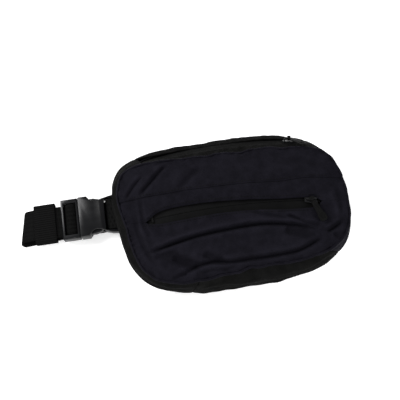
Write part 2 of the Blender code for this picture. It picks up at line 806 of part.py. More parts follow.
def belt():
    turn = LAYER_PITCH / 2
    stored = [(SEWN_END, layer_z(STORED_LAYERS - 1))]
    for layer in range(STORED_LAYERS - 1, 1, -1):
        leftwards = layer % 2 == 0
        start, end = (STACK_RIGHT, STACK_LEFT) if leftwards else (STACK_LEFT, STACK_RIGHT)
        if layer == 2:
            stored += straight(start, end + 2 * GAP, layer_z(layer))
        else:
            sweep = (90, 270) if leftwards else (90, -90)
            stored += straight(start, end, layer_z(layer))
            stored += arc_points((end, layer_z(layer) - turn), turn, *sweep, 6)[1:-1]
    ribbon("belt_stored_folds", stored, WEBBING_WIDTH, "webbing")

    slack = [(STACK_LEFT + GAP, layer_z(2))]
    slack += arc_points((STACK_LEFT, layer_z(1) + turn), turn, 90, 270, 6)
    slack += straight(STACK_LEFT, STACK_RIGHT, layer_z(1))[1:-1]
    slack += arc_points((STACK_RIGHT, layer_z(0) + turn), turn, 90, -90, 6)
    slack.append((STACK_RIGHT - GAP, layer_z(0)))
    ribbon("belt_slack_fold", slack, WEBBING_WIDTH, "webbing")

    fold_radius = (BELT_UPPER_Z - layer_z(0)) / 2
    fold_x = -BELT_REACH + fold_radius + WEBBING_THICKNESS / 2
    main = straight(STACK_RIGHT - 2 * GAP, fold_x, layer_z(0))
    main += arc_points((fold_x, layer_z(0) + fold_radius), fold_radius, 270, 90, 10)[1:-1]
    left, right, low, high = LADDER_BAR
    reach = GAP + WEBBING_THICKNESS / 2
    main += straight(fold_x, left - reach - 1.4 * MM, BELT_UPPER_Z, 12 * MM)
    main += arc_points((left + 1.0 * MM, high - 1.0 * MM), 1.0 * MM + reach, 170, 90, 5)
    main += arc_points((right - 1.0 * MM, high - 1.0 * MM), 1.0 * MM + reach, 90, 0, 5)
    turn_z = BELT_TAIL_Z + 1.2 * MM
    main += arc_points((right + reach - 1.2 * MM, turn_z), 1.2 * MM, 0, -90, 5)
    main += straight(right - 4 * MM, -151 * MM, BELT_TAIL_Z, 10 * MM)
    return ribbon("belt_main_run", main, WEBBING_WIDTH, "webbing")


def belt_keeper():
    """An elastic loop round the upper run and the tail."""
    low, high = 1.75 * MM, 7.65 * MM
    wall = 1.1 * MM
    half = WEBBING_WIDTH / 2 + 2.2 * MM
    left, right = BAG_X - 154 * MM, BAG_X - 137 * MM
    mesh = box_mesh("belt_keeper", (left, belt_y(-half), low), (right, belt_y(half), high))
    keeper = add_object("belt_keeper", mesh, "webbing")
    margin = 2 * MM
    inner = box_mesh(
        "keeper_inside",
        (left - margin, belt_y(-half + wall), low + wall),
        (right + margin, belt_y(half - wall), high - wall),
    )
    cut(keeper, add_cutter("keeper_inside", inner))
    bevel(keeper, 0.5 * MM, 2)
    return keeper


def anchor_webbing():
    """The short doubled webbing that ties the buckle's socket to the bag."""
    left, right, low, high = ANCHOR_BAR
    reach = GAP + WEBBING_THICKNESS / 2
    seam_x = -77 * MM
    upper, lower = 6.6 * MM, 5.1 * MM
    path = [(seam_x, upper), (-84 * MM, upper), (right + 1.5 * MM, upper + 0.5 * MM)]
    path += [(right - 0.3 * MM, high + reach)]
    path += arc_points((left + 1.1 * MM, high - 1.1 * MM), 1.1 * MM + reach, 90, 180, 5)
    path += arc_points((left + 1.1 * MM, low + 1.1 * MM), 1.1 * MM + reach, 180, 270, 5)
    path += [(right - 0.3 * MM, low - reach), (right + 1.5 * MM, lower - 0.7 * MM), (-84 * MM, lower), (seam_x, lower)]
    return ribbon("anchor_webbing", path, WEBBING_WIDTH, "webbing")


def housing_outline():
    """The socket's plan: a collar, two waisted sides for the latch buttons, and a flared end."""
    collar = -111.5 * MM
    waist_y = 11.6 * MM
    flare_start, flare_y = -99.0 * MM, 13.4 * MM
    upper = [(BUCKLE_SPLIT, BUCKLE_HALF), (collar, BUCKLE_HALF)]
    steps = 8
    for i in range(1, steps):
        t = i / steps
        x = collar + (flare_start - collar) * t
        dip = math.sin(math.pi * t) ** 0.8
        edge = BUCKLE_HALF + (flare_y - BUCKLE_HALF) * t
        upper.append((x, edge - (edge - waist_y) * dip))
    upper += [(flare_start, flare_y), (-94 * MM, 15.2 * MM), (BUCKLE_RIGHT, 15.9 * MM)]
    lower = [(x, -y) for x, y in reversed(upper)]
    return [(BAG_X + x, belt_y(y)) for x, y in upper + lower]


def housing_profile():
    """The socket from the side: thick at the collar, thinner at the flared end."""
    end_low, end_high = 3.1 * MM, 8.9 * MM
    shape = [
        (BUCKLE_SPLIT, HOUSING_LOW),
        (-101 * MM, HOUSING_LOW),
        (-95 * MM, end_low),
        (BUCKLE_RIGHT, end_low),
        (BUCKLE_RIGHT, end_high),
        (-94 * MM, end_high),
        (-101 * MM, HOUSING_HIGH),
        (BUCKLE_SPLIT, HOUSING_HIGH),
    ]
    return [(BAG_X + x, z) for x, z in shape]


def buckle_housing():
    plan = prism_mesh("buckle_female", housing_outline(), 0.0, 15 * MM)
    housing = add_object("buckle_female", plan, "buckle_plastic")
    side = prism_mesh("housing_side", housing_profile(), belt_y(-20 * MM), belt_y(20 * MM), upright="Y")
    cut(housing, add_cutter("housing_side", side), "INTERSECT")
    bevel(housing, 0.8 * MM, 2)
    cavity = box_mesh(
        "housing_cavity",
        (BAG_X + BUCKLE_SPLIT - 3 * MM, belt_y(-CAVITY_HALF), CAVITY_LOW),
        (BAG_X + CAVITY_END, belt_y(CAVITY_HALF), CAVITY_HIGH),
    )
    cut(housing, add_cutter("housing_cavity", cavity))
    left, right, low, high = ANCHOR_BAR
    slot_half = WEBBING_WIDTH / 2 + 0.6 * MM
    slot = box_mesh(
        "anchor_slot",
        (BAG_X + left - 2.2 * MM, belt_y(-slot_half), 0.0),
        (BAG_X + BUCKLE_RIGHT + 3 * MM, belt_y(slot_half), 15 * MM),
    )
    cut(housing, add_cutter("anchor_slot", slot))
    bar = box_mesh(
        "anchor_bar",
        (BAG_X + left, belt_y(-slot_half - 1 * MM), low),
        (BAG_X + right, belt_y(slot_half + 1 * MM), high),
    )
    bar_cutter = add_cutter("anchor_bar", bar)
    bevel(bar_cutter, 1.0 * MM, 3)
    cut(housing, bar_cutter, "UNION")
    return housing


def buckle_frame():
    """The plug: a ladder frame for the belt, and a tongue that enters the socket."""
    right = BUCKLE_SPLIT - GAP
    outer = box_mesh(
        "buckle_male",
        (BAG_X + FRAME_LEFT, belt_y(-BUCKLE_HALF), FRAME_LOW),
        (BAG_X + right, belt_y(BUCKLE_HALF), FRAME_HIGH),
    )
    frame = add_object("buckle_male", outer, "buckle_plastic")
    bevel(frame, 0.8 * MM, 2)
    window_half = WEBBING_WIDTH / 2 + 0.5 * MM
    bar_left, bar_right, bar_low, bar_high = LADDER_BAR
    window = box_mesh(
        "frame_window",
        (BAG_X + FRAME_LEFT + 1.9 * MM, belt_y(-window_half), 0.0),
        (BAG_X + bar_right + 1.9 * MM, belt_y(window_half), 15 * MM),
    )
    cut(frame, add_cutter("frame_window", window))
    passage = box_mesh(
        "frame_passage",
        (BAG_X + FRAME_LEFT - 2 * MM, belt_y(-window_half), 0.0),
        (BAG_X + FRAME_LEFT + 3 * MM, belt_y(window_half), 6.6 * MM),
    )
    cut(frame, add_cutter("frame_passage", passage))
    bar = box_mesh(
        "ladder_bar",
        (BAG_X + bar_left, belt_y(-window_half - 1 * MM), bar_low),
        (BAG_X + bar_right, belt_y(window_half + 1 * MM), bar_high),
    )
    bar_cutter = add_cutter("ladder_bar", bar)
    bevel(bar_cutter, 1.0 * MM, 3)
    cut(frame, bar_cutter, "UNION")
    tongue_shape = [(right - 0.8 * MM, 12.6 * MM), (-117.6 * MM, 12.6 * MM), (-117.6 * MM, 6 * MM)]
    tongue_shape += [(-103 * MM, 4.6 * MM), (-101 * MM, 2.5 * MM)]
    mirrored = [(x, -y) for x, y in reversed(tongue_shape)]
    tongue = [(BAG_X + x, belt_y(y)) for x, y in tongue_shape + mirrored]
    cut(frame, add_cutter("frame_tongue", prism_mesh("frame_tongue", tongue, 4.9 * MM, 8.9 * MM)), "UNION")
    return frame


def latch_arm(name, side):
    """A springy arm with the button that shows in the socket's waist."""
    root_x, root_y = ARM_ROOT
    shape = [
        (root_x - 0.4 * MM, root_y - 1.3 * MM),
        (root_x - 0.4 * MM, root_y + 1.3 * MM),
        (-111.6 * MM, root_y + 1.4 * MM),
        (-110.6 * MM, CAVITY_HALF - 0.4 * MM),
        (-106.5 * MM, CAVITY_HALF - 0.3 * MM),
        (-102.2 * MM, CAVITY_HALF - 1.6 * MM),
        (-100.4 * MM, root_y + 0.6 * MM),
        (-100.8 * MM, root_y - 1.0 * MM),
        (-103.0 * MM, root_y - 1.2 * MM),
    ]
    outline = [(BAG_X + x, belt_y(side * y)) for x, y in shape]
    arm = add_object(name, prism_mesh(name, outline, 4.6 * MM, 9.2 * MM), "buckle_plastic")
    bevel(arm, 0.4 * MM, 1)
    hang_on(arm, empty_at(name + "_root", (BAG_X + root_x, belt_y(side * root_y), 6.9 * MM)))
    return arm


def belt_and_buckle():
    carrier = empty_at("buckle_slide_origin", (BAG_X + BUCKLE_SPLIT, BELT_Y, 6.9 * MM))
    for moving in (belt(), belt_keeper(), buckle_frame()):
        hang_on(moving, carrier)
    latch_arm("latch_arm_upper", 1)
    latch_arm("latch_arm_lower", -1)
    anchor_webbing()
    buckle_housing()


def main():
    global PARTS, CUTTERS
    clear_scene()
    PARTS = new_collection("waist_pack")
    CUTTERS = new_collection("cutters")
    bag_body()
    zip_set("main", main_zip_track(), ("rear", "front"), math.radians(36), math.radians(8))
    zip_set("pocket", pocket_zip_track(), ("upper", "lower"), math.radians(29), math.radians(3))
    belt_and_buckle()


main()
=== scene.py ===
"""A waist pack lying on its back: sewn nylon shell, two zips, a webbing belt and its buckle.

Each group of pieces is built by its own operator round the fixed frame that is loaded
below. All lengths are in metres, in the frame's own axes: X along the pack, Y towards
its top edge, Z up out of the front panel.
"""

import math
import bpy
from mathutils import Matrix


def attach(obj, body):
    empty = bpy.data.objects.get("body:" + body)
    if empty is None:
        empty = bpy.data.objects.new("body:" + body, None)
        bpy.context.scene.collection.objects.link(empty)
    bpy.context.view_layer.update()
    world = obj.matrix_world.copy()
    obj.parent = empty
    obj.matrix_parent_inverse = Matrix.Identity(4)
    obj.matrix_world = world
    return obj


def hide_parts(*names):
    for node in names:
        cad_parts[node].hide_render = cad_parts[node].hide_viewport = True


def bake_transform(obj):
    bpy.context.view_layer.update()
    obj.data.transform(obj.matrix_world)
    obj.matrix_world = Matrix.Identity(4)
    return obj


bl_info = {
    "name": "Waist Pack",
    "version": (1, 0, 0),
    "blender": (4, 5, 0),
    "location": "3D View > Sidebar > Waist Pack",
    "description": "Builds a zipped waist pack with a webbing belt and a side-release buckle",
    "category": "Object",
}

import bmesh
import bpy
import numpy as np
from bpy.props import FloatProperty, FloatVectorProperty, IntProperty, PointerProperty
from mathutils import Matrix, Vector, noise

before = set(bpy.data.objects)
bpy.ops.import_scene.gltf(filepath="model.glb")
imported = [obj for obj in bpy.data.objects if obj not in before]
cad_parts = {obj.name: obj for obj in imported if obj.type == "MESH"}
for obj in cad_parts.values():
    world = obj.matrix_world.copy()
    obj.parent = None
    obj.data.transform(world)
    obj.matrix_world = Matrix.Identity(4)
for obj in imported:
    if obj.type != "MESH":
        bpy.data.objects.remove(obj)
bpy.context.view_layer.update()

MM = 0.001

# The shell's own frame
BAG_X = 36.75 * MM
BELT_Y = 15.5 * MM
REAR_SEAM_Z = 2.6 * MM
FRONT_SEAM_Z = 41.0 * MM
CROWN = 6.6 * MM
CROWN_POWER = 2.2
FABRIC = 1.0 * MM
LINING = 0.5 * MM
MEAN_RADIUS = 85.0 * MM  # turns the outline's angle into a length round the shell
CORNER_POWERS = np.array((3.0, 4.2, 3.4, 2.95))  # superellipse powers, by quadrant
LEAN_LEFT, LEAN_RIGHT = 6.3 * MM, -1.9 * MM  # each end's lean at LEAN_X, LEAN_Y from the middle
LEAN_X, LEAN_Y = 90.0 * MM, 50.0 * MM

# Height, reach to the left, right, top and bottom, and shift of the middle, in millimetres
SECTIONS = np.array(
    (
        (0.0, 77.0, 78.0, 46.0, 45.5, -1.0),
        (2.6, 81.0, 82.0, 51.2, 51.2, -0.5),
        (9.0, 84.5, 86.0, 57.0, 57.6, 0.0),
        (18.0, 86.8, 89.2, 59.8, 60.4, 0.0),
        (25.2, 87.0, 89.0, 57.4, 58.8, -1.8),
        (28.0, 86.8, 88.5, 55.7, 57.4, -2.5),
        (36.0, 85.0, 85.8, 51.6, 52.2, -6.2),
        (41.0, 82.3, 82.3, 48.3, 48.3, -9.5),
    )
)

# The front seam's outline round a middle point, in millimetres. The wall blends into it
# above TURN_IN_Z.
TURN_IN_Z = 33.8 * MM
FRONT_INSET = 0.35 * MM
FRONT_MIDDLE = np.array((0.0, -8.0))
FRONT_EDGE = np.array(
    (
        (86.6, -8.0), (85.6, 6.0), (82.6, 19.0), (76.0, 29.0), (63.0, 34.2), (46.0, 35.9), (14.0, 37.4),
        (-12.0, 38.4), (-31.0, 39.2), (-51.0, 40.1), (-68.0, 39.6), (-76.5, 36.0), (-81.5, 29.5), (-83.4, 17.0),
        (-81.6, 5.0), (-78.7, -9.9), (-74.4, -31.5), (-68.5, -43.5), (-58.5, -51.4), (-45.3, -54.8),
        (-31.0, -55.2), (-12.9, -53.2), (6.2, -51.2), (24.6, -51.2), (49.6, -50.0), (66.5, -46.6),
        (78.5, -39.0), (84.9, -24.0),
    )
)

# The channel that the stored belt lies in, across the back
CHANNEL_HEIGHT = 7.6 * MM
CHANNEL_FLAT = 13.8 * MM
CHANNEL_EDGE = 18.3 * MM
WALL_EDGE = 24.3 * MM
CHANNEL_FULL_Z = 6.0 * MM
CHANNEL_GONE_Z = 27.0 * MM

# Zips
TAPE_WIDTH = 6.2 * MM
ZIP_LEVEL = 29.2
ZIP_WINDOW_Z = (25.2 * MM, 33.6 * MM)
POCKET_SLOT = (-64.0 * MM, 66.0 * MM)
BRIDGE_HEIGHT = 4.3 * MM
SLIDER_REST = 7.4 * MM

# Belt, in millimetres, with x counted from the bag's middle
LAYER_Z, LAYER_STEP = 0.6, 1.5
STACK_LEFT, STACK_RIGHT = -72.0, 70.0
BELT_FOLD_X = -165.5
KEEPER_X = -146.6


# ---------------------------------------------------------------- settings


def size_property(name, description, value):
    return FloatProperty(name=name, description=description, default=value, unit="LENGTH")


class PackSizes(bpy.types.PropertyGroup):
    """Sizes that a user may change."""

    webbing_width: size_property("Webbing width", "Width of the belt webbing", 0.0254)
    webbing_thickness: size_property("Webbing thickness", "Thickness of the belt webbing", 0.0012)
    binding_radius: size_property("Binding radius", "Half thickness of the bound seams", 0.0008)
    stitch_length: size_property("Stitch length", "Length of one stitch", 0.0024)
    coil_pitch: size_property("Coil pitch", "Distance between two turns of a zip's coil", 0.0021)
    weave_count: IntProperty(
        name="Weave count", description="Threads in a centimetre of the shell fabric", default=22
    )


def colour_property(name, description, value):
    return FloatVectorProperty(
        name=name, description=description, subtype="COLOR", size=3, min=0.0, max=1.0, default=value
    )


class PackColours(bpy.types.PropertyGroup):
    """Colours that a user may change."""

    front: colour_property("Front fabric", "Nylon of the front panel", (0.0060, 0.0056, 0.0082))
    gusset: colour_property("Gusset fabric", "Nylon of the side walls", (0.0052, 0.0052, 0.0051))
    lining: colour_property("Lining", "Inner fabric and mesh", (0.018, 0.018, 0.020))
    webbing: colour_property("Webbing", "Belt webbing and keeper", (0.0042, 0.0042, 0.0042))
    plastic: colour_property("Plastic", "Moulded buckle", (0.0026, 0.0027, 0.0034))
    zip_film: colour_property("Zip film", "Coated zip tape", (0.0038, 0.0038, 0.0039))
    metal: colour_property("Zip metal", "Painted sliders and stops", (0.0050, 0.0050, 0.0054))
    pull: colour_property("Zip pull", "Soft moulded pulls", (0.0028, 0.0028, 0.0028))
    floor: colour_property("Floor", "Plain studio floor", (0.90, 0.90, 0.90))


def sizes():
    return bpy.context.scene.waist_pack_sizes


def colours():
    return bpy.context.scene.waist_pack_colours


# ---------------------------------------------------------------- materials


class Shader:
    """A Principled material with a few helpers for the nodes in front of it."""

    def __init__(self, name, colour, roughness, metallic=0.0, specular=0.3):
        self.material = bpy.data.materials.new(name)
        self.material.use_nodes = True
        self.nodes = self.material.node_tree.nodes
        self.links = self.material.node_tree.links
        self.shader = self.nodes["Principled BSDF"]
        self.colour = colour
        self.set("Base Color", (*colour, 1.0))
        self.set("Roughness", roughness)
        self.set("Metallic", metallic)
        self.set("Specular IOR Level", specular)

    def set(self, socket, value):
        self.shader.inputs[socket].default_value = value

    def node(self, kind, **values):
        made = self.nodes.new(kind)
        for key, value in values.items():
            if key in made.inputs:
                made.inputs[key].default_value = value
            else:
                setattr(made, key, value)
        return made

    def join(self, source, output, target, socket):
        self.links.new(source.outputs[output], target.inputs[socket])

    def coordinates(self, kind, scale=(1.0, 1.0, 1.0), turn=(0.0, 0.0, 0.0)):
        source = self.node("ShaderNodeTexCoord")
        mapping = self.node("ShaderNodeMapping")
        mapping.inputs["Scale"].default_value = scale
        mapping.inputs["Rotation"].default_value = turn
        self.join(source, kind, mapping, "Vector")
        return mapping

    def noise(self, kind, scale, detail=3.0, stretch=(1.0, 1.0, 1.0), roughness=0.55):
        mapping = self.coordinates(kind, stretch)
        made = self.node("ShaderNodeTexNoise", Scale=scale, Detail=detail, Roughness=roughness)
        self.join(mapping, "Vector", made, "Vector")
        return made

    def waves(self, kind, count, direction, turn=0.0, distortion=0.0):
        """Straight threads: count of them in a metre."""
        mapping = self.coordinates(kind, turn=(0.0, 0.0, turn))
        made = self.node("ShaderNodeTexWave", Scale=count * math.tau / 20.0, Distortion=distortion)
        made.wave_type = "BANDS"
        made.bands_direction = direction
        self.join(mapping, "Vector", made, "Vector")
        return made

    def math(self, operation, first, second):
        made = self.node("ShaderNodeMath")
        made.operation = operation
        for i, source in enumerate((first, second)):
            if isinstance(source, bpy.types.NodeSocket):
                self.links.new(source, made.inputs[i])
            else:
                made.inputs[i].default_value = source
        return made.outputs[0]

    def vary_colour(self, source, low, high):
        """Lets a 0 to 1 source move the colour between two multiples of itself."""
        ramp = self.node("ShaderNodeValToRGB")
        for stop, position, share in zip(ramp.color_ramp.elements, (0.3, 0.7), (low, high)):
            stop.position = position
            stop.color = (*[channel * share for channel in self.colour], 1.0)
        self.links.new(source, ramp.inputs["Fac"])
        self.join(ramp, "Color", self.shader, "Base Color")

    def vary_roughness(self, source, low, high):
        made = self.node("ShaderNodeMapRange")
        for socket, value in (("To Min", low), ("To Max", high)):
            made.inputs[socket].default_value = value
        self.links.new(source, made.inputs["Value"])
        self.join(made, "Result", self.shader, "Roughness")

    def bump(self, source, strength, distance, before=None):
        made = self.node("ShaderNodeBump", Strength=strength, Distance=distance)
        self.links.new(source, made.inputs["Height"])
        if before:
            self.join(before, "Normal", made, "Normal")
        self.join(made, "Normal", self.shader, "Normal")
        return made


def woven(name, colour, roughness, count, grain, sheen, specular=0.012):
    """Plain weave along a patch's own UV map, with slubs and soft crumples. Its colour is darkened in creases
    as painted shade and lightened on their lips as painted highlight.
    """
    made = Shader(name, colour, roughness, specular=specular)
    made.set("Sheen Weight", sheen)
    made.set("Sheen Roughness", 0.55)
    made.set("Sheen Tint", (0.75, 0.75, 0.85, 1.0))
    across = made.waves("UV", count * 100, "X", distortion=0.6)
    along = made.waves("UV", count * 100, "Y", distortion=0.6)
    threads = made.math("MULTIPLY", across.outputs["Fac"], along.outputs["Fac"])
    slubs = made.noise("UV", 900.0, 2.0, (1.0, 0.12, 1.0))
    surface = made.math("ADD", threads, made.math("MULTIPLY", slubs.outputs["Fac"], 0.6))
    crumple = made.noise("Object", grain, 4.0)
    soft = made.bump(crumple.outputs["Fac"], 0.35, 1.1 * MM)
    made.bump(surface, 0.55, 0.12 * MM, soft)
    mottle = made.noise("Object", 130.0, 3.0)
    mottled = made.math("MULTIPLY", mottle.outputs["Fac"], 0.7)
    shade = made.math("ADD", mottled, made.math("MULTIPLY", threads, 0.35))
    # Painted shade and highlight: the crease attribute darkens the cloth in its fold valleys and lightens the
    # raised lips beside them.
    crease = made.node("ShaderNodeAttribute", attribute_name="crease")
    painted_crease_shade = made.math("MULTIPLY", crease.outputs["Fac"], 0.16)
    made.vary_colour(made.math("ADD", shade, painted_crease_shade), 0.62, 1.32)
    return made.material


def ribbed(name, colour, roughness, pitch, chevron):
    """Flat webbing: ribs across the strap in a chevron, along the strap's UV map."""
    made = Shader(name, colour, roughness, specular=0.006)
    made.set("Sheen Weight", 0.004)
    made.set("Sheen Roughness", 0.5)
    ribs = made.waves("UV", 1.0 / pitch, "X", turn=chevron, distortion=0.4)
    back = made.waves("UV", 1.0 / pitch, "X", turn=-chevron, distortion=0.4)
    both = made.math("MAXIMUM", ribs.outputs["Fac"], back.outputs["Fac"])
    fine = made.noise("UV", 2200.0, 2.0)
    surface = made.math("ADD", both, made.math("MULTIPLY", fine.outputs["Fac"], 0.4))
    made.bump(surface, 0.8, 0.3 * MM)
    made.vary_colour(surface, 0.6, 1.35)
    return made.material


def moulded(name, colour, roughness, grain=900.0, gloss=0.2):
    """Moulded plastic with a faint spark texture and handling marks."""
    made = Shader(name, colour, roughness, specular=gloss)
    spark = made.noise("Object", grain, 2.0)
    marks = made.noise("Object", 90.0, 5.0, (1.0, 3.0, 1.0))
    made.bump(spark.outputs["Fac"], 0.18, 0.08 * MM)
    made.vary_roughness(marks.outputs["Fac"], roughness * 0.8, roughness * 1.25)
    made.vary_colour(marks.outputs["Fac"], 0.85, 1.2)
    return made.material


def coated_film(name, colour):
    """The water-repellent face of a zip tape: satin, with a faint weave showing through."""
    made = Shader(name, colour, 0.42, specular=0.02)
    threads = made.waves("UV", 1800.0, "X", distortion=0.3)
    smudge = made.noise("Object", 70.0, 4.0)
    made.bump(threads.outputs["Fac"], 0.25, 0.08 * MM)
    made.vary_roughness(smudge.outputs["Fac"], 0.34, 0.52)
    made.vary_colour(smudge.outputs["Fac"], 0.85, 1.15)
    return made.material


def painted(name, colour):
    """Dark painted metal, worn a little brighter in places."""
    made = Shader(name, colour, 0.36, metallic=0.1, specular=0.09)
    wear = made.noise("Object", 700.0, 5.0)
    made.vary_roughness(wear.outputs["Fac"], 0.25, 0.5)
    made.vary_colour(wear.outputs["Fac"], 0.7, 2.0)
    made.bump(wear.outputs["Fac"], 0.12, 0.05 * MM)
    return made.material


def open_mesh(name, colour):
    """Knitted spacer mesh with small round dimples, along the patch's UV map."""
    made = Shader(name, colour, 0.85, specular=0.06)
    made.set("Sheen Weight", 0.04)
    mapping = made.coordinates("UV", turn=(0.0, 0.0, math.radians(45)))
    cells = made.node("ShaderNodeTexVoronoi", Scale=330.0, Randomness=0.12)
    made.join(mapping, "Vector", cells, "Vector")
    made.bump(cells.outputs["Distance"], 0.9, 0.8 * MM)
    made.vary_colour(cells.outputs["Distance"], 1.3, 0.5)
    return made.material


def finish(slot):
    """The shared material for one of the record's slots, made the first time it is asked for."""
    ready = bpy.data.materials.get("pack_" + slot)
    if ready:
        return ready
    shade = colours()
    count = sizes().weave_count
    makers = {
        "front_nylon": lambda n: woven(n, shade.front, 0.72, count, 240.0, 0.01),
        "gusset_nylon": lambda n: woven(n, shade.gusset, 0.62, count * 0.8, 320.0, 0.002, 0.004),
        "lining": lambda n: woven(n, shade.lining, 0.8, count, 200.0, 0.04),
        "foam": lambda n: open_mesh(n, shade.lining),
        "zip_tape": lambda n: coated_film(n, shade.zip_film),
        "zip_coil": lambda n: moulded(n, shade.zip_film, 0.4),
        "zip_metal": lambda n: painted(n, shade.metal),
        "pull_rubber": lambda n: moulded(n, shade.pull, 0.55, 1500.0, 0.05),
        "webbing": lambda n: ribbed(n, shade.webbing, 0.75, 1.25 * MM, math.radians(20)),
        "buckle_plastic": lambda n: moulded(n, shade.plastic, 0.3),
        "elastic": lambda n: ribbed(n, shade.webbing, 0.8, 1.5 * MM, 0.0),
        "binding": lambda n: woven(n, shade.front, 0.6, count * 0.5, 500.0, 0.004, 0.01),
        "back_mesh": lambda n: open_mesh(n, shade.gusset),
        "thread": lambda n: woven(n, shade.gusset, 0.6, count, 900.0, 0.004, 0.05),
    }
    return makers[slot]("pack_" + slot)


# ---------------------------------------------------------------- piece helpers


def patch(columns, rows, place, width, height):
    """A grid whose points are placed by a function of u and v, with a UV map in metres."""
    bm = bmesh.new()
    layer = bm.loops.layers.uv.new("fabric")
    bmesh.ops.create_grid(bm, x_segments=columns, y_segments=rows, size=0.5)
    bm.verts.ensure_lookup_table()
    flat = np.array([vert.co for vert in bm.verts])
    u, v = flat[:, 0] + 0.5, flat[:, 1] + 0.5
    points = place(u, v)
    for face in bm.faces:
        for loop in face.loops:
            i = loop.vert.index
            loop[layer].uv = (u[i] * width, v[i] * height)
    for vert, point in zip(bm.verts, points):
        vert.co = point
    return bm


def add_piece(name, bm, slot, body="bag", stands_for=(), material=None, sharp=None):
    """Turns a bmesh into a shown piece with its material, chosen by the slot unless one is given, its body and
    replaced nodes.
    """
    mesh = bpy.data.meshes.new(name)
    bm.to_mesh(mesh)
    bm.free()
    mesh.shade_smooth()
    if sharp:
        mesh.set_sharp_from_angle(angle=math.radians(sharp))
    piece = bpy.data.objects.new(name, mesh)
    bpy.context.scene.collection.objects.link(piece)
    mesh.materials.append(finish(material or slot))
    if body:
        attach(piece, body)
    if stands_for:
        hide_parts(*stands_for)
    return piece


def paint_crease_shading(piece, depths):
    """Stores how deep in a crease each point lies, in millimetres, which the fabric's colour turns into painted
    shade in the creases and painted highlight on their lips.
    """
    store = piece.data.attributes.new("crease", "FLOAT", "POINT")
    store.data.foreach_set("value", np.asarray(depths, np.float32))


def thicken(piece, thickness, offset=-1.0):
    wall = piece.modifiers.new("Thickness", "SOLIDIFY")
    wall.thickness = thickness
    wall.offset = offset
    wall.use_even_offset = True


def declare_cloth(piece):
    """Adds up the lengths of a panel's edges along each row and column of its UV map; the sums are not kept or
    used.
    """
    mesh = piece.data
    spots = np.zeros((len(mesh.vertices), 2))
    for loop, corner in zip(mesh.loops, mesh.uv_layers.active.data):
        spots[loop.vertex_index] = corner.uv
    runs = ({}, {})
    for edge in mesh.edges:
        a, b = edge.vertices
        span = np.abs(spots[a] - spots[b])
        along = int(span[1] > span[0])
        row = round(float(spots[a][1 - along]), 5)
        step = (mesh.vertices[a].co - mesh.vertices[b].co).length
        runs[along][row] = runs[along].get(row, 0.0) + step


def sewn(name, bm, slot, node, thickness=LINING, offset=-1.0, material=None):
    """Adds a panel of cloth: a sheet with a thickness."""
    piece = add_piece(name, bm, slot, stands_for=[node], material=material)
    declare_cloth(piece)
    thicken(piece, thickness, offset)
    return piece


def rumple(points, scale, seed):
    """Smooth seeded noise, about -0.5 to 0.5, at each point. Scale is bumps in a metre."""
    shift = Vector((seed * 3.7, seed * 1.3, seed * 7.1))
    return np.array([noise.noise(Vector(point) * scale + shift) for point in points])


def level_rumple(x, y, scale, seed):
    return rumple(np.stack((x, y, np.zeros_like(x)), axis=-1), scale, seed)


def smooth_step(value):
    value = np.clip(value, 0.0, 1.0)
    return value * value * (3.0 - 2.0 * value)


def bell(away, width):
    """1 at nothing, fading to 0 over a width."""
    return np.exp(-((away / width) ** 2))


def travelled(points):
    """The length of a path from its start to each of its points."""
    gaps = np.linalg.norm(np.diff(points, axis=0), axis=1)
    return np.concatenate(([0.0], np.cumsum(gaps)))


def curve_through(points, count):
    """A smooth curve through the given points, equally many samples between each two."""
    knots = np.array(points, float)
    knots = np.vstack((2 * knots[0] - knots[1], knots, 2 * knots[-1] - knots[-2]))
    spans = len(knots) - 3
    found = []
    for t in np.linspace(0.0, spans, count):
        i = min(int(t), spans - 1)
        a, b, c, d = knots[i : i + 4]
        gaps = [max(float(np.linalg.norm(q - p)) ** 0.5, 1e-6) for p, q in ((a, b), (b, c), (c, d))]
        t1, t2, t3 = gaps[0], gaps[0] + gaps[1], sum(gaps)
        s = t1 + (t2 - t1) * (t - i)
        a1 = a + (b - a) * s / t1
        a2 = b + (c - b) * (s - t1) / (t2 - t1)
        a3 = c + (d - c) * (s - t2) / (t3 - t2)
        b1 = a1 + (a2 - a1) * s / t2
        b2 = a2 + (a3 - a2) * (s - t1) / (t3 - t1)
        found.append(b1 + (b2 - b1) * (s - t1) / (t2 - t1))
    return np.array(found)


def sweep(path, normals, section, closed=False):
    """A section of (across, up) pairs carried along a path with its own up directions."""
    count, sides = len(path), len(section)
    rings = []
    for i in range(count):
        before = path[i - 1] if closed or i > 0 else path[i]
        after = path[(i + 1) % count] if closed or i < count - 1 else path[i]
        along = Vector(after - before).normalized()
        up = Vector(normals[i])
        up = (up - along * up.dot(along)).normalized()
        across = up.cross(along)
        rings.append([Vector(path[i]) + across * a + up * b for a, b in section])
    girth = travelled(np.array(section + section[:1]))[-1]
    columns = count if closed else count - 1

    def place(u, v):
        steps = np.rint(u * columns).astype(int) % count
        return [rings[i][j] for i, j in zip(steps, np.rint(v * sides).astype(int) % sides)]

    bm = patch(columns, sides, place, travelled(path)[-1], girth)
    close_tube(bm, sides)
    return bm


def close_tube(bm, sides):
    """Joins a rolled-up patch along its seam and fills whatever ends are open."""
    bmesh.ops.remove_doubles(bm, verts=bm.verts, dist=1e-7)
    rim = [edge for edge in bm.edges if edge.is_boundary]
    bmesh.ops.holes_fill(bm, edges=rim, sides=sides)
    bmesh.ops.recalc_face_normals(bm, faces=bm.faces)


def oval(half_width, half_height, count=10):
    turns = [math.tau * i / count for i in range(count)]
    return [(half_width * math.cos(t), half_height * math.sin(t)) for t in turns]


def strap_outline(width, thickness, edge=4):
    """A flat strap's section with round selvedges."""
    half, r = width / 2, thickness / 2
    found = []
    for side, start in ((1, -90), (-1, 90)):
        for i in range(edge + 1):
            turn = math.radians(start + 180 * i / edge)
            found.append((side * (half - r) + r * math.cos(turn), r * math.sin(turn)))
        inner = [0.5, 0.0, -0.5] if side > 0 else [-0.5, 0.0, 0.5]
        found += [(half * share, r if side > 0 else -r) for share in inner]
    return found


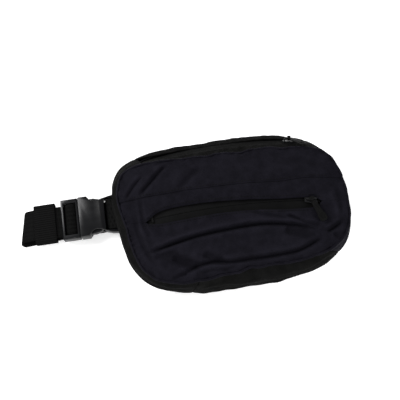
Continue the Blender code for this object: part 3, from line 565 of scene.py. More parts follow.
def add_bm(target, source, matrix=None):
    """Joins one bmesh into another, placed by a matrix."""
    mesh = bpy.data.meshes.new("part")
    source.to_mesh(mesh)
    source.free()
    if matrix is not None:
        mesh.transform(matrix)
    target.from_mesh(mesh)
    bpy.data.meshes.remove(mesh)


def stitch_row(name, points):
    """A row of short threads along a line, each a small bead pressed into the cloth."""
    step = sizes().stitch_length
    travel = travelled(points)
    up = Vector((0.0, 0.0, 1.0))
    bm = bmesh.new()
    for at in np.arange(step * 0.6, travel[-1] - step * 0.5, step):
        ends = [
            Vector([np.interp(at + s * step * 0.36, travel, points[:, k]) for k in range(3)])
            for s in (-1, 1)
        ]
        along = (ends[1] - ends[0]).normalized()
        across = up.cross(along).normalized()
        place = Matrix((across, up, along)).transposed().to_4x4()
        place.translation = (ends[0] + ends[1]) / 2 + up * 0.12 * MM
        reach = (ends[1] - ends[0]).length
        shape = Matrix.Diagonal((0.26 * MM, 0.2 * MM, reach / 2, 1.0))
        bmesh.ops.create_icosphere(bm, subdivisions=1, radius=1.0, matrix=place @ shape)
    return add_piece(name, bm, "gusset_nylon", material="thread")


# ---------------------------------------------------------------- the shell's surface


def section_at(z):
    """Reach to the left, right, top and bottom, and the middle's shift, at a height."""
    z = np.asarray(z, float) / MM
    levels = SECTIONS[:, 0]
    found = []
    for column in SECTIONS[:, 1:].T:
        parts = [np.interp(z + shift, levels, column) for shift in (-2.4, -1.2, 0.0, 1.2, 2.4)]
        found.append(sum(parts) / len(parts) * MM)
    return found


def quadrant(angle):
    return np.floor((angle % math.tau) / (math.pi / 2)).astype(int) % 4


def lean(x, y):
    """Sideways shift of the shell's two ends, from the middle's own x and y."""
    left = np.clip(-x / LEAN_X, 0.0, 1.1) ** 2 * -LEAN_LEFT
    right = np.clip(x / LEAN_X, 0.0, 1.1) ** 2 * LEAN_RIGHT
    return (left + right) * y / LEAN_Y


def outline(angle, shape, grow=0.0):
    """Points of a level outline, whose shape comes from section_at."""
    angle = np.asarray(angle, float)
    c, s = np.cos(angle), np.sin(angle)
    n = CORNER_POWERS[quadrant(angle)]
    half_x = np.where(c < 0, shape[0], shape[1]) + grow
    half_y = np.where(s > 0, shape[2], shape[3]) + grow
    reach = (np.abs(c / half_x) ** n + np.abs(s / half_y) ** n) ** (-1 / n)
    x, y = reach * c, reach * s
    return BAG_X + x + lean(x, y), shape[4] + y


def channel_lift(y, edge=CHANNEL_EDGE):
    """How far the belt's channel raises the back."""
    share = (edge - np.abs(y - BELT_Y)) / (edge - CHANNEL_FLAT)
    return CHANNEL_HEIGHT * smooth_step(share)


def edge_reach(turn):
    """How far the front seam is from the front's middle in each direction, in millimetres."""
    away = FRONT_EDGE - FRONT_MIDDLE
    at = np.unwrap(np.arctan2(away[:, 1], away[:, 0]))
    reach = np.hypot(away[:, 0], away[:, 1])
    at = np.concatenate([at + math.tau * k for k in (-1, 0, 1)])
    reach = np.concatenate([reach] * 3)
    turn = (np.asarray(turn, float) + math.pi) % math.tau - math.pi
    blur = ((-0.05, 0.25), (0.0, 0.5), (0.05, 0.25))
    return sum(np.interp(turn + shift, at, reach) * weight for shift, weight in blur)


def front_outline(angle, inset):
    """Points of the front seam, drawn in by a distance."""
    angle = np.asarray(angle, float)
    reach = edge_reach(angle) * MM - inset
    x0, y0 = FRONT_MIDDLE * MM
    return BAG_X + x0 + reach * np.cos(angle), y0 + reach * np.sin(angle)


def wall_point(angle, z, push=0.0):
    """Points of the side walls, pushed outwards by a distance."""
    z = np.asarray(z, float)
    x, y = outline(angle, section_at(z), push)
    front_x, front_y = front_outline(angle, -push)
    share = smooth_step((z - TURN_IN_Z) / (FRONT_SEAM_Z - TURN_IN_Z))
    x, y = x + (front_x - x) * share, y + (front_y - y) * share
    seam_y = outline(angle, section_at(np.full_like(z, REAR_SEAM_Z)))[1]
    fade = np.clip((CHANNEL_GONE_Z - z) / (CHANNEL_GONE_Z - CHANNEL_FULL_Z), 0.0, 1.0)
    return np.stack((x, y, z + channel_lift(seam_y, WALL_EDGE) * fade), axis=-1)


def share_of(x, y, shape, inset=0.0):
    """0 at the middle of an outline, 1 on it."""
    dx, dy = x - BAG_X, y - shape[4]
    dx = dx - lean(dx, dy)
    n = CORNER_POWERS[quadrant(np.arctan2(dy, dx))]
    half_x = np.where(dx < 0, shape[0], shape[1]) - inset
    half_y = np.where(dy > 0, shape[2], shape[3]) - inset
    return (np.abs(dx / half_x) ** n + np.abs(dy / half_y) ** n) ** (1 / n)


def front_share(x, y):
    x0, y0 = FRONT_MIDDLE * MM
    dx, dy = x - BAG_X - x0, y - y0
    return np.hypot(dx, dy) / (edge_reach(np.arctan2(dy, dx)) * MM)


def fold(x, y, line, depth, width, above, below):
    """Height change of one crease: a valley along a line, with raised lips beside it.

    The line is in millimetres from the bag's middle. Above is the side to its left as it
    runs to the right.
    """
    path = curve_through(np.array(line, float) * MM + (BAG_X, 0.0), 26)
    best = np.full(x.shape, 1e9)
    side = np.zeros(x.shape)
    share = np.zeros(x.shape)
    for i, (a, b) in enumerate(zip(path, path[1:])):
        run = b - a
        t = ((x - a[0]) * run[0] + (y - a[1]) * run[1]) / (run @ run)
        t = np.clip(t, 0.0, 1.0)
        dx, dy = x - a[0] - t * run[0], y - a[1] - t * run[1]
        away = np.hypot(dx, dy)
        nearer = away < best
        best = np.where(nearer, away, best)
        side = np.where(nearer, np.sign(run[0] * dy - run[1] * dx), side)
        share = np.where(nearer, (i + t) / (len(path) - 1), share)
    ends = smooth_step(np.minimum(share, 1.0 - share) / 0.18)
    away = best / MM
    lips = np.where(side > 0, above, below) * bell(away - 1.9 * width, 1.5 * width)
    return (lips - depth * bell(away, width)) * ends * MM


# Creases of the front: line, depth, width, lip above, lip below
FRONT_FOLDS = (
    (((-70, -30.5), (-58, -28.7), (-40, -25.1), (-21, -22.8), (-8, -22.0), (11, -21.2), (29, -22.8), (41, -25),
      (53, -28), (66, -31.2)), 3.2, 1.5, 1.5, 0.8),
    (((36, -27.0), (43, -30.6), (54, -31.4)), 2.2, 3.6, 0.2, 0.6),
    (((38, -16.5), (46, -21.5), (54, -25.3), (65, -28.3)), 1.8, 1.3, 0.6, 0.4),
    (((12, -9.5), (20, -13.5), (32, -18.0), (44, -21.0)), 0.7, 1.6, 0.4, 0.4),
    (((-47, -50.4), (-37, -47), (-27.5, -44.2), (-19, -44), (-7, -45.6), (7, -45.2), (32, -45.2), (44, -44),
      (58, -39), (64, -36)), 2.4, 1.5, 1.1, 1.0),
    (((-48, -35.5), (-44, -38.2), (-37, -41.6), (-28, -44)), 2.6, 3.0, 0.8, 0.4),
    (((-26, -36.5), (-21, -40), (-16, -42.6), (-10, -42)), 2.2, 2.5, 0.6, 0.4),
    (((-52, -53), (-44, -49.5), (-38, -49)), 1.2, 1.4, 0.5, 0.3),
    (((-30, -50.5), (-20, -49.0), (-12, -50.0), (0, -48.6)), 0.9, 1.2, 0.5, 0.3),
    (((-43.5, 36.5), (-50, 30.5), (-58, 22.8), (-68, 13.5)), 1.9, 1.5, 0.8, 0.9),
    (((-62, 30.5), (-68, 25), (-73, 19.5), (-78, 13)), 1.5, 1.2, 0.7, 0.6),
    (((-18, 30.5), (-25, 25), (-31, 20), (-38.5, 14.5)), 1.1, 2.3, 0.5, 0.6),
    (((66, -33.8), (72.2, -30.6), (80, -26.5)), 2.2, 1.5, 0.8, 0.8),
    (((70, -35), (76, -38), (81, -34)), 1.7, 1.6, 0.6, 0.6),
    (((74.2, -1), (75.6, -13), (77.2, -24)), -1.0, 1.8, 0.0, 0.0),
    (((79.4, 2), (80.5, -10), (80.0, -22)), 1.0, 1.4, 0.3, 0.3),
    (((-66.5, 12.6), (-66.2, 1.9), (-65.2, -11.5), (-60.5, -20.5)), 0.9, 1.3, 0.4, 0.4),
    (((-72, 2), (-71, -12), (-67, -27), (-61, -41)), 0.8, 1.6, 0.5, 0.4),
    (((-62, -35), (-52, -33.2), (-44, -34)), 0.9, 2.0, 0.4, 0.3),
)


def front_relief(x, y):
    return sum(fold(x, y, *crease) for crease in FRONT_FOLDS)


def front_points(x, y):
    """The front panel's outer surface with its creases and gathers."""
    share = np.minimum(1.0, front_share(x, y))
    z = FRONT_SEAM_Z + CROWN * (1 - share**CROWN_POWER)
    inner = smooth_step((1.0 - share) / 0.10)
    relief = front_relief(x, y)
    for scale, stretch, seed, height in ((38.0, 1.0, 1, 1.2), (110.0, 1.0, 2, 0.35), (60.0, 2.6, 3, 0.6)):
        relief = relief + level_rumple(x, y * stretch, scale, seed) * height * MM
    around = np.arctan2((y + 9.5 * MM) * 1.7, x - BAG_X)
    ring = np.stack((np.cos(around), np.sin(around), share * 0.6), axis=-1)
    gathers = rumple(ring, 26.0, 4) * 1.3 * MM * bell(1.0 - share, 0.055)
    z = z + relief * inner + gathers * smooth_step((1.0 - share) / 0.015)
    return np.stack((x, y, z + seam_relief(x, y)), axis=-1)


# ---------------------------------------------------------------- zip tracks


class ZipTrack:
    """A circular arc through two ends, bowed to one side, that a slider follows."""

    def __init__(self, start, end, bow, up):
        start, end, bow = Vector(start), Vector(end), Vector(bow)
        half = (end - start).length / 2
        rise = bow.length
        self.along = (end - start).normalized()
        self.outward = (bow - self.along * bow.dot(self.along)).normalized()
        self.radius = (half * half + rise * rise) / (2 * rise)
        self.centre = (start + end) / 2 + self.outward * (rise - self.radius)
        self.axis = self.along.cross(self.outward)
        self.limit = math.asin(half / self.radius)
        self.up = Vector(up).normalized()

    def at(self, angle):
        """Along, across and up at an angle, as a matrix with the point as its origin."""
        turn = Matrix.Rotation(-angle, 3, self.axis)
        along, up = turn @ self.along, turn @ self.up
        across = up.cross(along).normalized()
        made = Matrix((along, across, up)).transposed().to_4x4()
        made.translation = self.centre + turn @ (self.outward * self.radius)
        return made

    def rest(self):
        return self.at(self.limit - SLIDER_REST / self.radius)


def on_bag(x, y, z):
    return Vector((BAG_X + x * MM, y * MM, z * MM))


MAIN_TILT = math.radians(40)
MAIN_TRACK = ZipTrack(
    on_bag(-62, 44.3, ZIP_LEVEL),
    on_bag(60, 42.7, ZIP_LEVEL),
    (0, 5.4 * MM, 0),
    (0, math.cos(MAIN_TILT), math.sin(MAIN_TILT)),
)
POCKET_TRACK = ZipTrack(
    on_bag(-60, -5.2, 42.2), on_bag(66, -9.2, 41.6), (0, 3.0 * MM, 3.3 * MM), (0, 0, 1)
)


# The pocket's slot above (1) and below (-1) the zip, in millimetres from the bag's middle,
# and where its seam runs off the front
SLOT_EDGES = {
    1: (
        (-64, -7.2), (-61, -4.8), (-56.7, -1.9), (-51.4, -0.1), (-43.7, 0.8), (-36, 1.0), (-20.8, 0.8),
        (-4.4, -0.3), (14.3, -2.1), (32.9, -4.4), (51.4, -5.9), (62.5, -6.8), (66, -10.4),
    ),
    -1: (
        (-64, -7.2), (-61, -8.9), (-52.8, -9.7), (-37.5, -9.4), (-22.2, -8.9), (-5.8, -9.0), (13, -10.2),
        (31.5, -12.3), (50.1, -14.0), (62.8, -14.6), (66, -10.4),
    ),
}
SLOT_SEAM = ((-82, -4.8), (82, -11.8))


def slot_edge(x, side):
    """The edge of the pocket's slot, with the seam past its ends, at an array of x."""
    knots = np.array((SLOT_SEAM[0], *SLOT_EDGES[side], SLOT_SEAM[1]), float) * MM
    local = x - BAG_X
    return sum(np.interp(local + s * MM, knots[:, 0], knots[:, 1]) for s in (-1.0, -0.4, 0.4, 1.0)) / 4


def upper_slot(x):
    return slot_edge(x, 1)


def lower_slot(x):
    return slot_edge(x, -1)


def yoke_line(x):
    """The seam between the yoke and the pocket's facing."""
    local = x - BAG_X
    drop = 2.3 * MM * (1 - smooth_step((local / MM - 36) / 28))
    return 13.8 * MM - 0.048 * local - drop - local * local / (2 * 900 * MM)


def seam_relief(x, y):
    """The cloth turned down into the pocket's slot, the hems beside it and the yoke's seam."""
    left, right = BAG_X + POCKET_SLOT[0], BAG_X + POCKET_SLOT[1]
    opening = smooth_step((x - left) / (2.2 * MM)) * smooth_step((right - x) / (2.2 * MM))
    away = np.minimum(np.abs(y - upper_slot(x)), np.abs(y - lower_slot(x))) / MM
    hem = 0.35 * bell(away - 2.2, 1.3) - 0.95 * bell(away, 0.75)
    drop = hem * opening - 0.1 * bell(away, 0.7) * (1 - opening)
    away = np.abs(y - yoke_line(x)) / MM
    return (drop + 0.22 * bell(away - 2.0, 1.2) - 0.6 * bell(away, 0.6)) * MM


# ---------------------------------------------------------------- front panels


def coons(u, v, bottom, top, left, right):
    """A plan patch between four boundary curves, each a function of a 0 to 1 share."""

    def pairs(curve, share):
        return np.stack(curve(share), axis=-1)

    one, zero = np.ones(1), np.zeros(1)
    u2, v2 = u[:, None], v[:, None]
    sides = (1 - v2) * pairs(bottom, u) + v2 * pairs(top, u)
    sides += (1 - u2) * pairs(left, v) + u2 * pairs(right, v)
    corners = (1 - u2) * (1 - v2) * pairs(bottom, zero) + u2 * (1 - v2) * pairs(bottom, one)
    corners += (1 - u2) * v2 * pairs(top, zero) + u2 * v2 * pairs(top, one)
    return sides - corners


def arc_between(start, end):
    """A share of the front's outline between two angles, in degrees."""
    return lambda s: front_outline(np.radians(start + (end - start) * s), FRONT_INSET)


def halve(low, high, is_low):
    """The value between low and high where is_low turns false."""
    for _ in range(40):
        middle = (low + high) / 2
        if is_low(middle):
            low = middle
        else:
            high = middle
    return low


def crossings(edge):
    """The outline's angles, left and right, where an edge line runs off the front panel."""

    def under(turn):
        x, y = front_outline(np.radians(turn), FRONT_INSET)
        return y < edge(np.asarray(x))

    return 180.0 - halve(-89.0, 89.0, lambda turn: under(180.0 - turn)), halve(-89.0, 89.0, under)


def line_between(edge):
    """An edge line from one outline crossing to the other."""
    x0, x1 = (float(front_outline(np.radians(turn), FRONT_INSET)[0]) for turn in crossings(edge))
    return lambda s: (x0 + (x1 - x0) * s, edge(x0 + (x1 - x0) * s))


class WAISTPACK_OT_front(bpy.types.Operator):
    """Build the yoke, the pocket's facing and the lower front panel"""

    bl_idname = "waistpack.front"
    bl_label = "Front panels"

    def execute(self, context):
        yoke, upper, lower = crossings(yoke_line), crossings(upper_slot), crossings(lower_slot)
        yoke_edge, upper_edge, lower_edge = map(line_between, (yoke_line, upper_slot, lower_slot))
        # Name, node, grid, then the bottom, top, left and right edges, and the UV map's height
        panels = (
            ("front_yoke_cloth", "front_yoke", (150, 40), yoke_edge, arc_between(150, 30),
             arc_between(yoke[0], 150), arc_between(yoke[1], 30), 0.030),
            ("front_facing_cloth", "front_pocket_facing", (170, 26), upper_edge, yoke_edge,
             arc_between(upper[0], yoke[0]), arc_between(upper[1], yoke[1]), 0.017),
            ("front_lower_cloth", "front_lower_panel", (190, 90), arc_between(210, 330), lower_edge,
             arc_between(210, lower[0]), arc_between(-30, lower[1]), 0.045),
        )
        for name, node, grid, *edges, height in panels:

            def place(u, v):
                return front_points(*coons(u, v, *edges).T)

            bm = patch(*grid, place, 0.16, height)
            x, y = np.array([vert.co[:2] for vert in bm.verts]).T
            piece = sewn(name, bm, "front_nylon", node, FABRIC)
            # The front's creases also darken its colour as painted shade and lighten their lips as painted
            # highlight.
            paint_crease_shading(piece, front_relief(x, y) / MM)
        self.stitches()
        return {"FINISHED"}

    def stitches(self):
        xs = BAG_X + np.linspace(-72.0, 74.0, 90) * MM
        rows = (
            ("yoke_stitches", xs, yoke_line, 1.7),
            ("slot_stitches_upper", xs[4:-4], upper_slot, 1.9),
            ("slot_stitches_lower", xs[4:-4], lower_slot, -1.9),
        )
        for name, x, edge, away in rows:
            stitch_row(name, front_points(x, edge(x) + away * MM) + (0.0, 0.0, 0.05 * MM))


# ---------------------------------------------------------------- side walls


def wall_angle_at(x, upper=True):
    """The outline angle at the zip's height whose point is x millimetres from the middle."""
    low, high = (0.0, math.pi) if upper else (math.pi, math.tau)
    shape = section_at(ZIP_LEVEL * MM)
    return halve(low, high, lambda turn: (float(outline(turn, shape)[0]) - BAG_X > x * MM) == upper)


def wall_relief(angle, z, low, high, creases, gather, seed):
    """Outward movement of the side wall's cloth: long creases, gathers at the seams.

    An edge of the zip's window is also tucked in under the tape.
    """
    around = angle * MEAN_RADIUS
    relief = level_rumple(around * 0.55, z * 3.6, 55.0, seed) * creases * MM
    relief += level_rumple(around, z, 75.0, seed + 1) * 0.8 * MM
    puckers = level_rumple(around, z * 0.18, 190.0, seed + 2) * gather * MM
    relief += puckers * (bell(z - low, 6.0 * MM) + bell(high - z, 5.0 * MM))
    edge = smooth_step(np.minimum(z - low, high - z) / (1.6 * MM))
    tucks = sum(bell(z - window, 2.8 * MM) for window in ZIP_WINDOW_Z if window in (low, high))
    return relief * edge - 1.9 * MM * tucks


TACKS = (-29.0, -15.5, 1.8, 14.8)  # cross seams above the main zip, from the bag's middle


class WAISTPACK_OT_walls(bpy.types.Operator):
    """Build the six pieces of the side wall between the two bound seams"""

    bl_idname = "waistpack.walls"
    bl_label = "Side walls"

    def execute(self, context):
        low, high = REAR_SEAM_Z + 0.5 * MM, FRONT_SEAM_Z - 0.5 * MM
        zip_right, zip_left = wall_angle_at(63.5), wall_angle_at(-65.5)
        wing_top, wing_low = math.radians(3), math.radians(-31)
        bottom_left = wall_angle_at(-36.0, upper=False)
        window_low, window_high = ZIP_WINDOW_Z
        # Node, start and end angles, lower and upper heights, creases, gathers and seed
        strips = (
            ("top_gusset_front", zip_right, zip_left, window_high, high, 0.6, 1.3, 11),
            ("top_gusset_rear", zip_right, zip_left, low, window_low, 1.2, 1.1, 12),
            ("side_gusset_left", zip_left, bottom_left, low, high, 1.4, 1.0, 13),
            ("bottom_gusset", bottom_left, math.tau + wing_low, low, high, 1.6, 1.0, 14),
            ("right_side_wing", wing_low, wing_top, low, high, 2.2, 1.2, 15),
            ("side_gusset_right", wing_top, zip_right, low, high, 1.8, 1.2, 16),
        )
        for node, start, end, low_z, high_z, creases, gather, seed in strips:
            around = (end - start) * MEAN_RADIUS

            def place(u, v):
                angle = start + (end - start) * u
                z = low_z + (high_z - low_z) * v
                push = wall_relief(angle, z, low_z, high_z, creases, gather, seed)
                if node == "top_gusset_front":
                    local = (wall_point(angle, z)[:, 0] - BAG_X) / MM
                    push = push + 0.7 * MM * sum(bell(local - mark, 0.9) for mark in TACKS)
                ends = np.minimum(u, 1 - u) * around / MM
                push = push * smooth_step(ends / 14.0) - 0.35 * MM * bell(ends, 0.9)
                return wall_point(angle, z, push)

            columns = max(24, int(around / (1.1 * MM)))
            rows = max(10, int((high_z - low_z) / (0.9 * MM)))
            bm = patch(columns, rows, place, around, high_z - low_z)
            wing = node == "right_side_wing"
            name = "right_wing_cloth" if wing else node + "_cloth"
            sewn(name, bm, "front_nylon" if wing else "gusset_nylon", node, FABRIC)
        return {"FINISHED"}


class WAISTPACK_OT_bindings(bpy.types.Operator):
    """Build the two bound seams round the shell"""

    bl_idname = "waistpack.bindings"
    bl_label = "Bound seams"

    def execute(self, context):
        radius = sizes().binding_radius
        count = 260
        angle = np.linspace(0.0, math.tau, count, endpoint=False)
        seams = (("front_binding", FRONT_SEAM_Z, 0.8, 21), ("rear_binding", REAR_SEAM_Z, -0.8, 22))
        for name, z, tilt, seed in seams:
            level = np.full(count, z)
            base = wall_point(angle, level)
            push = rumple(base, 90.0, seed) * 0.8 * MM + rumple(base, 330.0, seed) * 0.35 * MM
            path = wall_point(angle, level, push)
            path[:, 2] += rumple(base, 150.0, seed + 4) * 0.5 * MM
            out = wall_point(angle, level, 1.0 * MM) - base
            out /= np.linalg.norm(out, axis=1)[:, None]
            ups = out + np.array((0.0, 0.0, tilt))
            bm = sweep(path, ups, oval(radius * 1.25, radius * 0.85, 12), closed=True)
            add_piece(name + "_tape", bm, "gusset_nylon", stands_for=[name], material="binding")
        return {"FINISHED"}


# ---------------------------------------------------------------- back and inside


def sheet_patch(columns, rows, z_level, inset, height, width, relief):
    """A sheet across the shell at one level, with its own height function of x, y, share."""
    shape = section_at(z_level)

    def arc(start, end):
        return lambda s: outline(np.radians(start + (end - start) * s), shape, -inset)

    def place(u, v):
        plan = coons(u, v, arc(210, 330), arc(150, 30), arc(210, 150), arc(-30, 30))
        x, y = plan[:, 0], plan[:, 1]
        share = share_of(x, y, shape, inset)
        return np.stack((x, y, relief(x, y, np.minimum(share, 1.0))), axis=-1)

    return patch(columns, rows, place, width, height)


class WAISTPACK_OT_back(bpy.types.Operator):
    """Build the padded back, its foam and the linings inside"""

    bl_idname = "waistpack.back"
    bl_label = "Back and inside"

    def execute(self, context):
        def back(x, y, share):
            rise = 2.2 * MM * smooth_step((share - 0.9) / 0.1)
            quilt = 1.1 * MM * sum(bell(y - line * MM, 1.5 * MM) for line in (-14.0, -27.0, -39.0))
            quilt = quilt * smooth_step((0.97 - share) / 0.12) * (y < BELT_Y - CHANNEL_EDGE)
            return np.maximum(channel_lift(y), rise + quilt) + 0.02 * MM

        bm = sheet_patch(120, 80, REAR_SEAM_Z, 0.8 * MM, 0.098, 0.164, back)
        sewn("back_panel_cloth", bm, "gusset_nylon", "back_panel", FABRIC, 1.0, "back_mesh")

        def pad(x, y, share):
            puff = 0.25 * MM * np.sin(x * 260.0) * np.sin(y * 260.0)
            return 1.6 * MM + channel_lift(y, CHANNEL_EDGE + 1.4 * MM) + puff

        bm = sheet_patch(60, 44, REAR_SEAM_Z, 4.2 * MM, 0.09, 0.156, pad)
        foam = add_piece("back_foam", bm, "foam", stands_for=["back_foam_pad"])
        thicken(foam, 2.4 * MM, offset=1.0)

        def lining(x, y, share):
            lift = channel_lift(y, CHANNEL_EDGE + 3.4 * MM)
            return 4.6 * MM + lift + level_rumple(x, y, 60.0, 31) * 0.5 * MM

        bm = sheet_patch(60, 44, REAR_SEAM_Z, 5.2 * MM, 0.088, 0.154, lining)
        sewn("back_lining_cloth", bm, "lining", "back_lining", offset=1.0)

        def mesh_pocket(x, y, share):
            return 14.9 * MM + level_rumple(x, y, 45.0, 32) * 0.9 * MM

        bm = sheet_patch(60, 40, 5.0 * MM, 12.5 * MM, 0.08, 0.148, mesh_pocket)
        sewn("inner_mesh_pocket", bm, "lining", "interior_mesh_pocket", material="foam")

        def backing(x, y, share):
            return 33.7 * MM + level_rumple(x, y, 40.0, 33) * 0.6 * MM

        bm = sheet_patch(60, 40, 36.0 * MM, 3.6 * MM, 0.095, 0.165, backing)
        sewn("pocket_backing_cloth", bm, "lining", "pocket_backing")

        def wall(u, v):
            angle = math.tau * u
            ring = np.stack((np.cos(angle), np.sin(angle), v * 0.2), axis=-1)
            push = -2.8 * MM + rumple(ring, 9.0, 34) * 0.6 * MM
            return wall_point(angle, (8.8 + 14.4 * v) * MM, push)

        bm = patch(150, 8, wall, 0.5, 0.0144)
        bmesh.ops.remove_doubles(bm, verts=bm.verts, dist=1e-5)
        sewn("lining_wall_cloth", bm, "lining", "lining_wall")
        return {"FINISHED"}


# ---------------------------------------------------------------- zips


def zip_tape(name, track, side, node):
    """One tape. The pocket's are coated, wider, and run on under the slot's left end."""
    if track is POCKET_TRACK:
        spare, lift, reach, look = 3.6 * MM / track.radius, 0.0, TAPE_WIDTH + 2.0 * MM, None
    else:
        spare, lift, reach, look = 0.0, 0.5 * MM, TAPE_WIDTH, "gusset_nylon"

    def place(u, v):
        angles = -track.limit - spare + (2 * track.limit + spare) * u
        offsets = (0.12 * MM + (reach - 0.12 * MM) * v) * side
        rise = lift + 0.22 * MM * bell(v * TAPE_WIDTH, 0.7 * MM)
        spots = zip(angles, offsets, rise)
        return [track.at(angle) @ Vector((0, across, up)) for angle, across, up in spots]

    bm = patch(110, 8, place, 0.125, TAPE_WIDTH)
    if side < 0:
        bmesh.ops.reverse_faces(bm, faces=bm.faces)
    thicken(add_piece(name, bm, "zip_tape", stands_for=[node], material=look), 0.55 * MM)


def zip_coil(name, track, node):
    """Two meshing coils under the tapes."""
    reach = track.limit - 3.0 * MM / track.radius
    per_turn = 8
    steps = int(2 * reach * track.radius / sizes().coil_pitch) * per_turn
    coil = bmesh.new()
    for side, phase in ((-1, 0.0), (1, 0.5)):
        path, ups = [], []
        for i in range(steps + 1):
            place = track.at(-reach + 2 * reach * (i / steps))
            turn = math.tau * (i / per_turn + phase)
            c, s = math.cos(turn), math.sin(turn)
            spot = Vector((0, side * 0.42 * MM + 0.62 * MM * c, -2.1 * MM + 0.62 * MM * s))
            path.append(np.array(place @ spot))
            ups.append(place.to_3x3() @ Vector((0, c, s)))
        add_bm(coil, sweep(np.array(path), ups, oval(0.26 * MM, 0.26 * MM, 5)))
    return add_piece(name, coil, "zip_coil", stands_for=[node])


def rounded_box(low, high, radius, segments=2):
    """A box with rounded edges between two corners, all in millimetres."""
    bm = bmesh.new()
    low, high = (Vector([value * MM for value in corner]) for corner in (low, high))
    bmesh.ops.create_cube(bm, size=1.0)
    bmesh.ops.scale(bm, vec=high - low, verts=bm.verts)
    bmesh.ops.translate(bm, vec=(low + high) / 2, verts=bm.verts)
    bevel_all(bm, radius * MM, segments)
    return bm


def bevel_edges(bm, edges, radius, segments, clamp=False):
    bmesh.ops.bevel(
        bm,
        geom=edges,
        offset=radius,
        offset_type="OFFSET",
        affect="EDGES",
        segments=segments,
        profile=0.5,
        material=-1,
        clamp_overlap=clamp,
    )


def bevel_all(bm, radius, segments=2, degrees=25.0):
    """Rounds every edge that is sharper than an angle."""
    limit = math.radians(degrees)
    edges = [e for e in bm.edges if e.is_manifold and e.calc_face_angle(0.0) > limit]
    bevel_edges(bm, edges, radius, segments, clamp=True)


def prism(points, low, high, radius, segments):
    """A plan outline pushed from low to high and rounded, all in millimetres."""
    bm = bmesh.new()
    base = bm.faces.new([bm.verts.new((x * MM, y * MM, low * MM)) for x, y in points])
    raised = bmesh.ops.extrude_face_region(bm, geom=[base])["geom"]
    moved = [item for item in raised if isinstance(item, bmesh.types.BMVert)]
    bmesh.ops.translate(bm, vec=(0, 0, high * MM - low * MM), verts=moved)
    bmesh.ops.recalc_face_normals(bm, faces=bm.faces)
    bevel_all(bm, radius * MM, segments)
    return bm


def zip_stops(prefix, track):
    for end, word in ((-1, "left"), (1, "right")):
        place = track.at(end * (track.limit - 1.2 * MM / track.radius))
        bm = bmesh.new()
        add_bm(bm, rounded_box((-0.8, -2.5, 0.3), (0.8, 2.5, 1.1), 0.3), place)
        node = f"{prefix}_zip_stop_{word}"
        add_piece(f"{prefix}_stop_{word}", bm, "zip_metal", "bag", [node], "pull_rubber", 50)


def zip_slider(prefix, track):
    """The slider's plate with its flanges, a raised spine and the arched bridge."""
    place = track.rest()
    plan = [(-4.7, 1.6), (-4.4, 1.9), (-1.5, 2.2), (1.0, 3.0), (4.2, 3.0), (4.7, 2.5)]
    plan += [(4.7, 0.9), (3.3, 0.0)]
    loop = plan + [(x, -y) for x, y in reversed(plan[:-1])]
    bm = bmesh.new()
    add_bm(bm, prism(loop, 1.15, 2.1, 0.28, 3), place)
    add_bm(bm, prism([(x * 0.93, y * 0.93) for x, y in loop], 0.32, 1.2, 0.15, 2), place)
    left = [(-3.5, 1.9), (-3.5, 3.2), (-3.1, 4.0), (-2.2, 4.3)]
    arch = left + [(0, 4.3)] + [(-x, z) for x, z in reversed(left)]
    path = curve_through([(x * MM, 0.0, z * MM) for x, z in arch], 28)
    ups = [(0.0, 1.0, 0.0)] * len(path)
    add_bm(bm, sweep(path, ups, oval(0.5 * MM, 0.72 * MM, 12)), place)
    node = f"{prefix}_zip_slider"
    add_piece(f"{prefix}_slider_body", bm, "zip_metal", f"{prefix}_slider", [node], sharp=45)


def pull_plan(skew):
    """A pull's outline in millimetres, turned by its skew."""
    right = [(0.9, -1.2), (0.9, -2.6), (1.7, -3.8), (2.1, -5.5), (2.3, -12.0), (2.8, -13.2)]
    right += [(2.95, -14.2), (2.9, -17.2), (2.3, -18.4), (1.3, -18.9)]
    shape = right + [(-x, y) for x, y in reversed(right)]
    c, s = math.cos(skew), math.sin(skew)
    return [(x * c - y * s, x * s + y * c) for x, y in shape]


def zip_pull(prefix, track, skew):
    """A moulded pull: an eye round the bridge, a waisted strip and a ridged grip."""
    place = track.rest() @ Matrix.Translation((0, 0, BRIDGE_HEIGHT))
    body = bmesh.new()
    add_bm(body, prism(pull_plan(skew), -0.62, 0.62, 0.3, 3), place)
    turned = place @ Matrix.Rotation(skew, 4, "Z")
    for i in range(4):
        across = 2.1 - 0.12 * abs(i - 1.5)
        y = -13.6 - i * 1.15
        add_bm(body, rounded_box((-across, y - 0.22, 0.4), (across, y + 0.22, 0.86), 0.16), turned)
    add_bm(body, rounded_box((-1.1, -11.6, 0.4), (1.1, -5.6, 0.8), 0.3), turned)
    eye = bmesh.new()
    ring = [(0.95, -1.25), (1.75, -1.25), (1.9, -1.0), (1.9, 1.0), (1.75, 1.25), (0.95, 1.25)]
    verts = [eye.verts.new((a * MM, r * MM, 0.0)) for r, a in ring]
    edges = [eye.edges.new(pair) for pair in zip(verts, verts[1:] + verts[:1])]
    bmesh.ops.spin(
        eye, geom=verts + edges, cent=(0, 0, 0), axis=(1, 0, 0), angle=math.tau, steps=24, use_merge=True
    )
    bmesh.ops.remove_doubles(eye, verts=eye.verts, dist=1e-6)
    bmesh.ops.recalc_face_normals(eye, faces=eye.faces)
    add_bm(body, eye, place)
    node = f"{prefix}_zip_pull"
    add_piece(f"{prefix}_pull_tab", body, "pull_rubber", f"{prefix}_pull", [node], sharp=40)


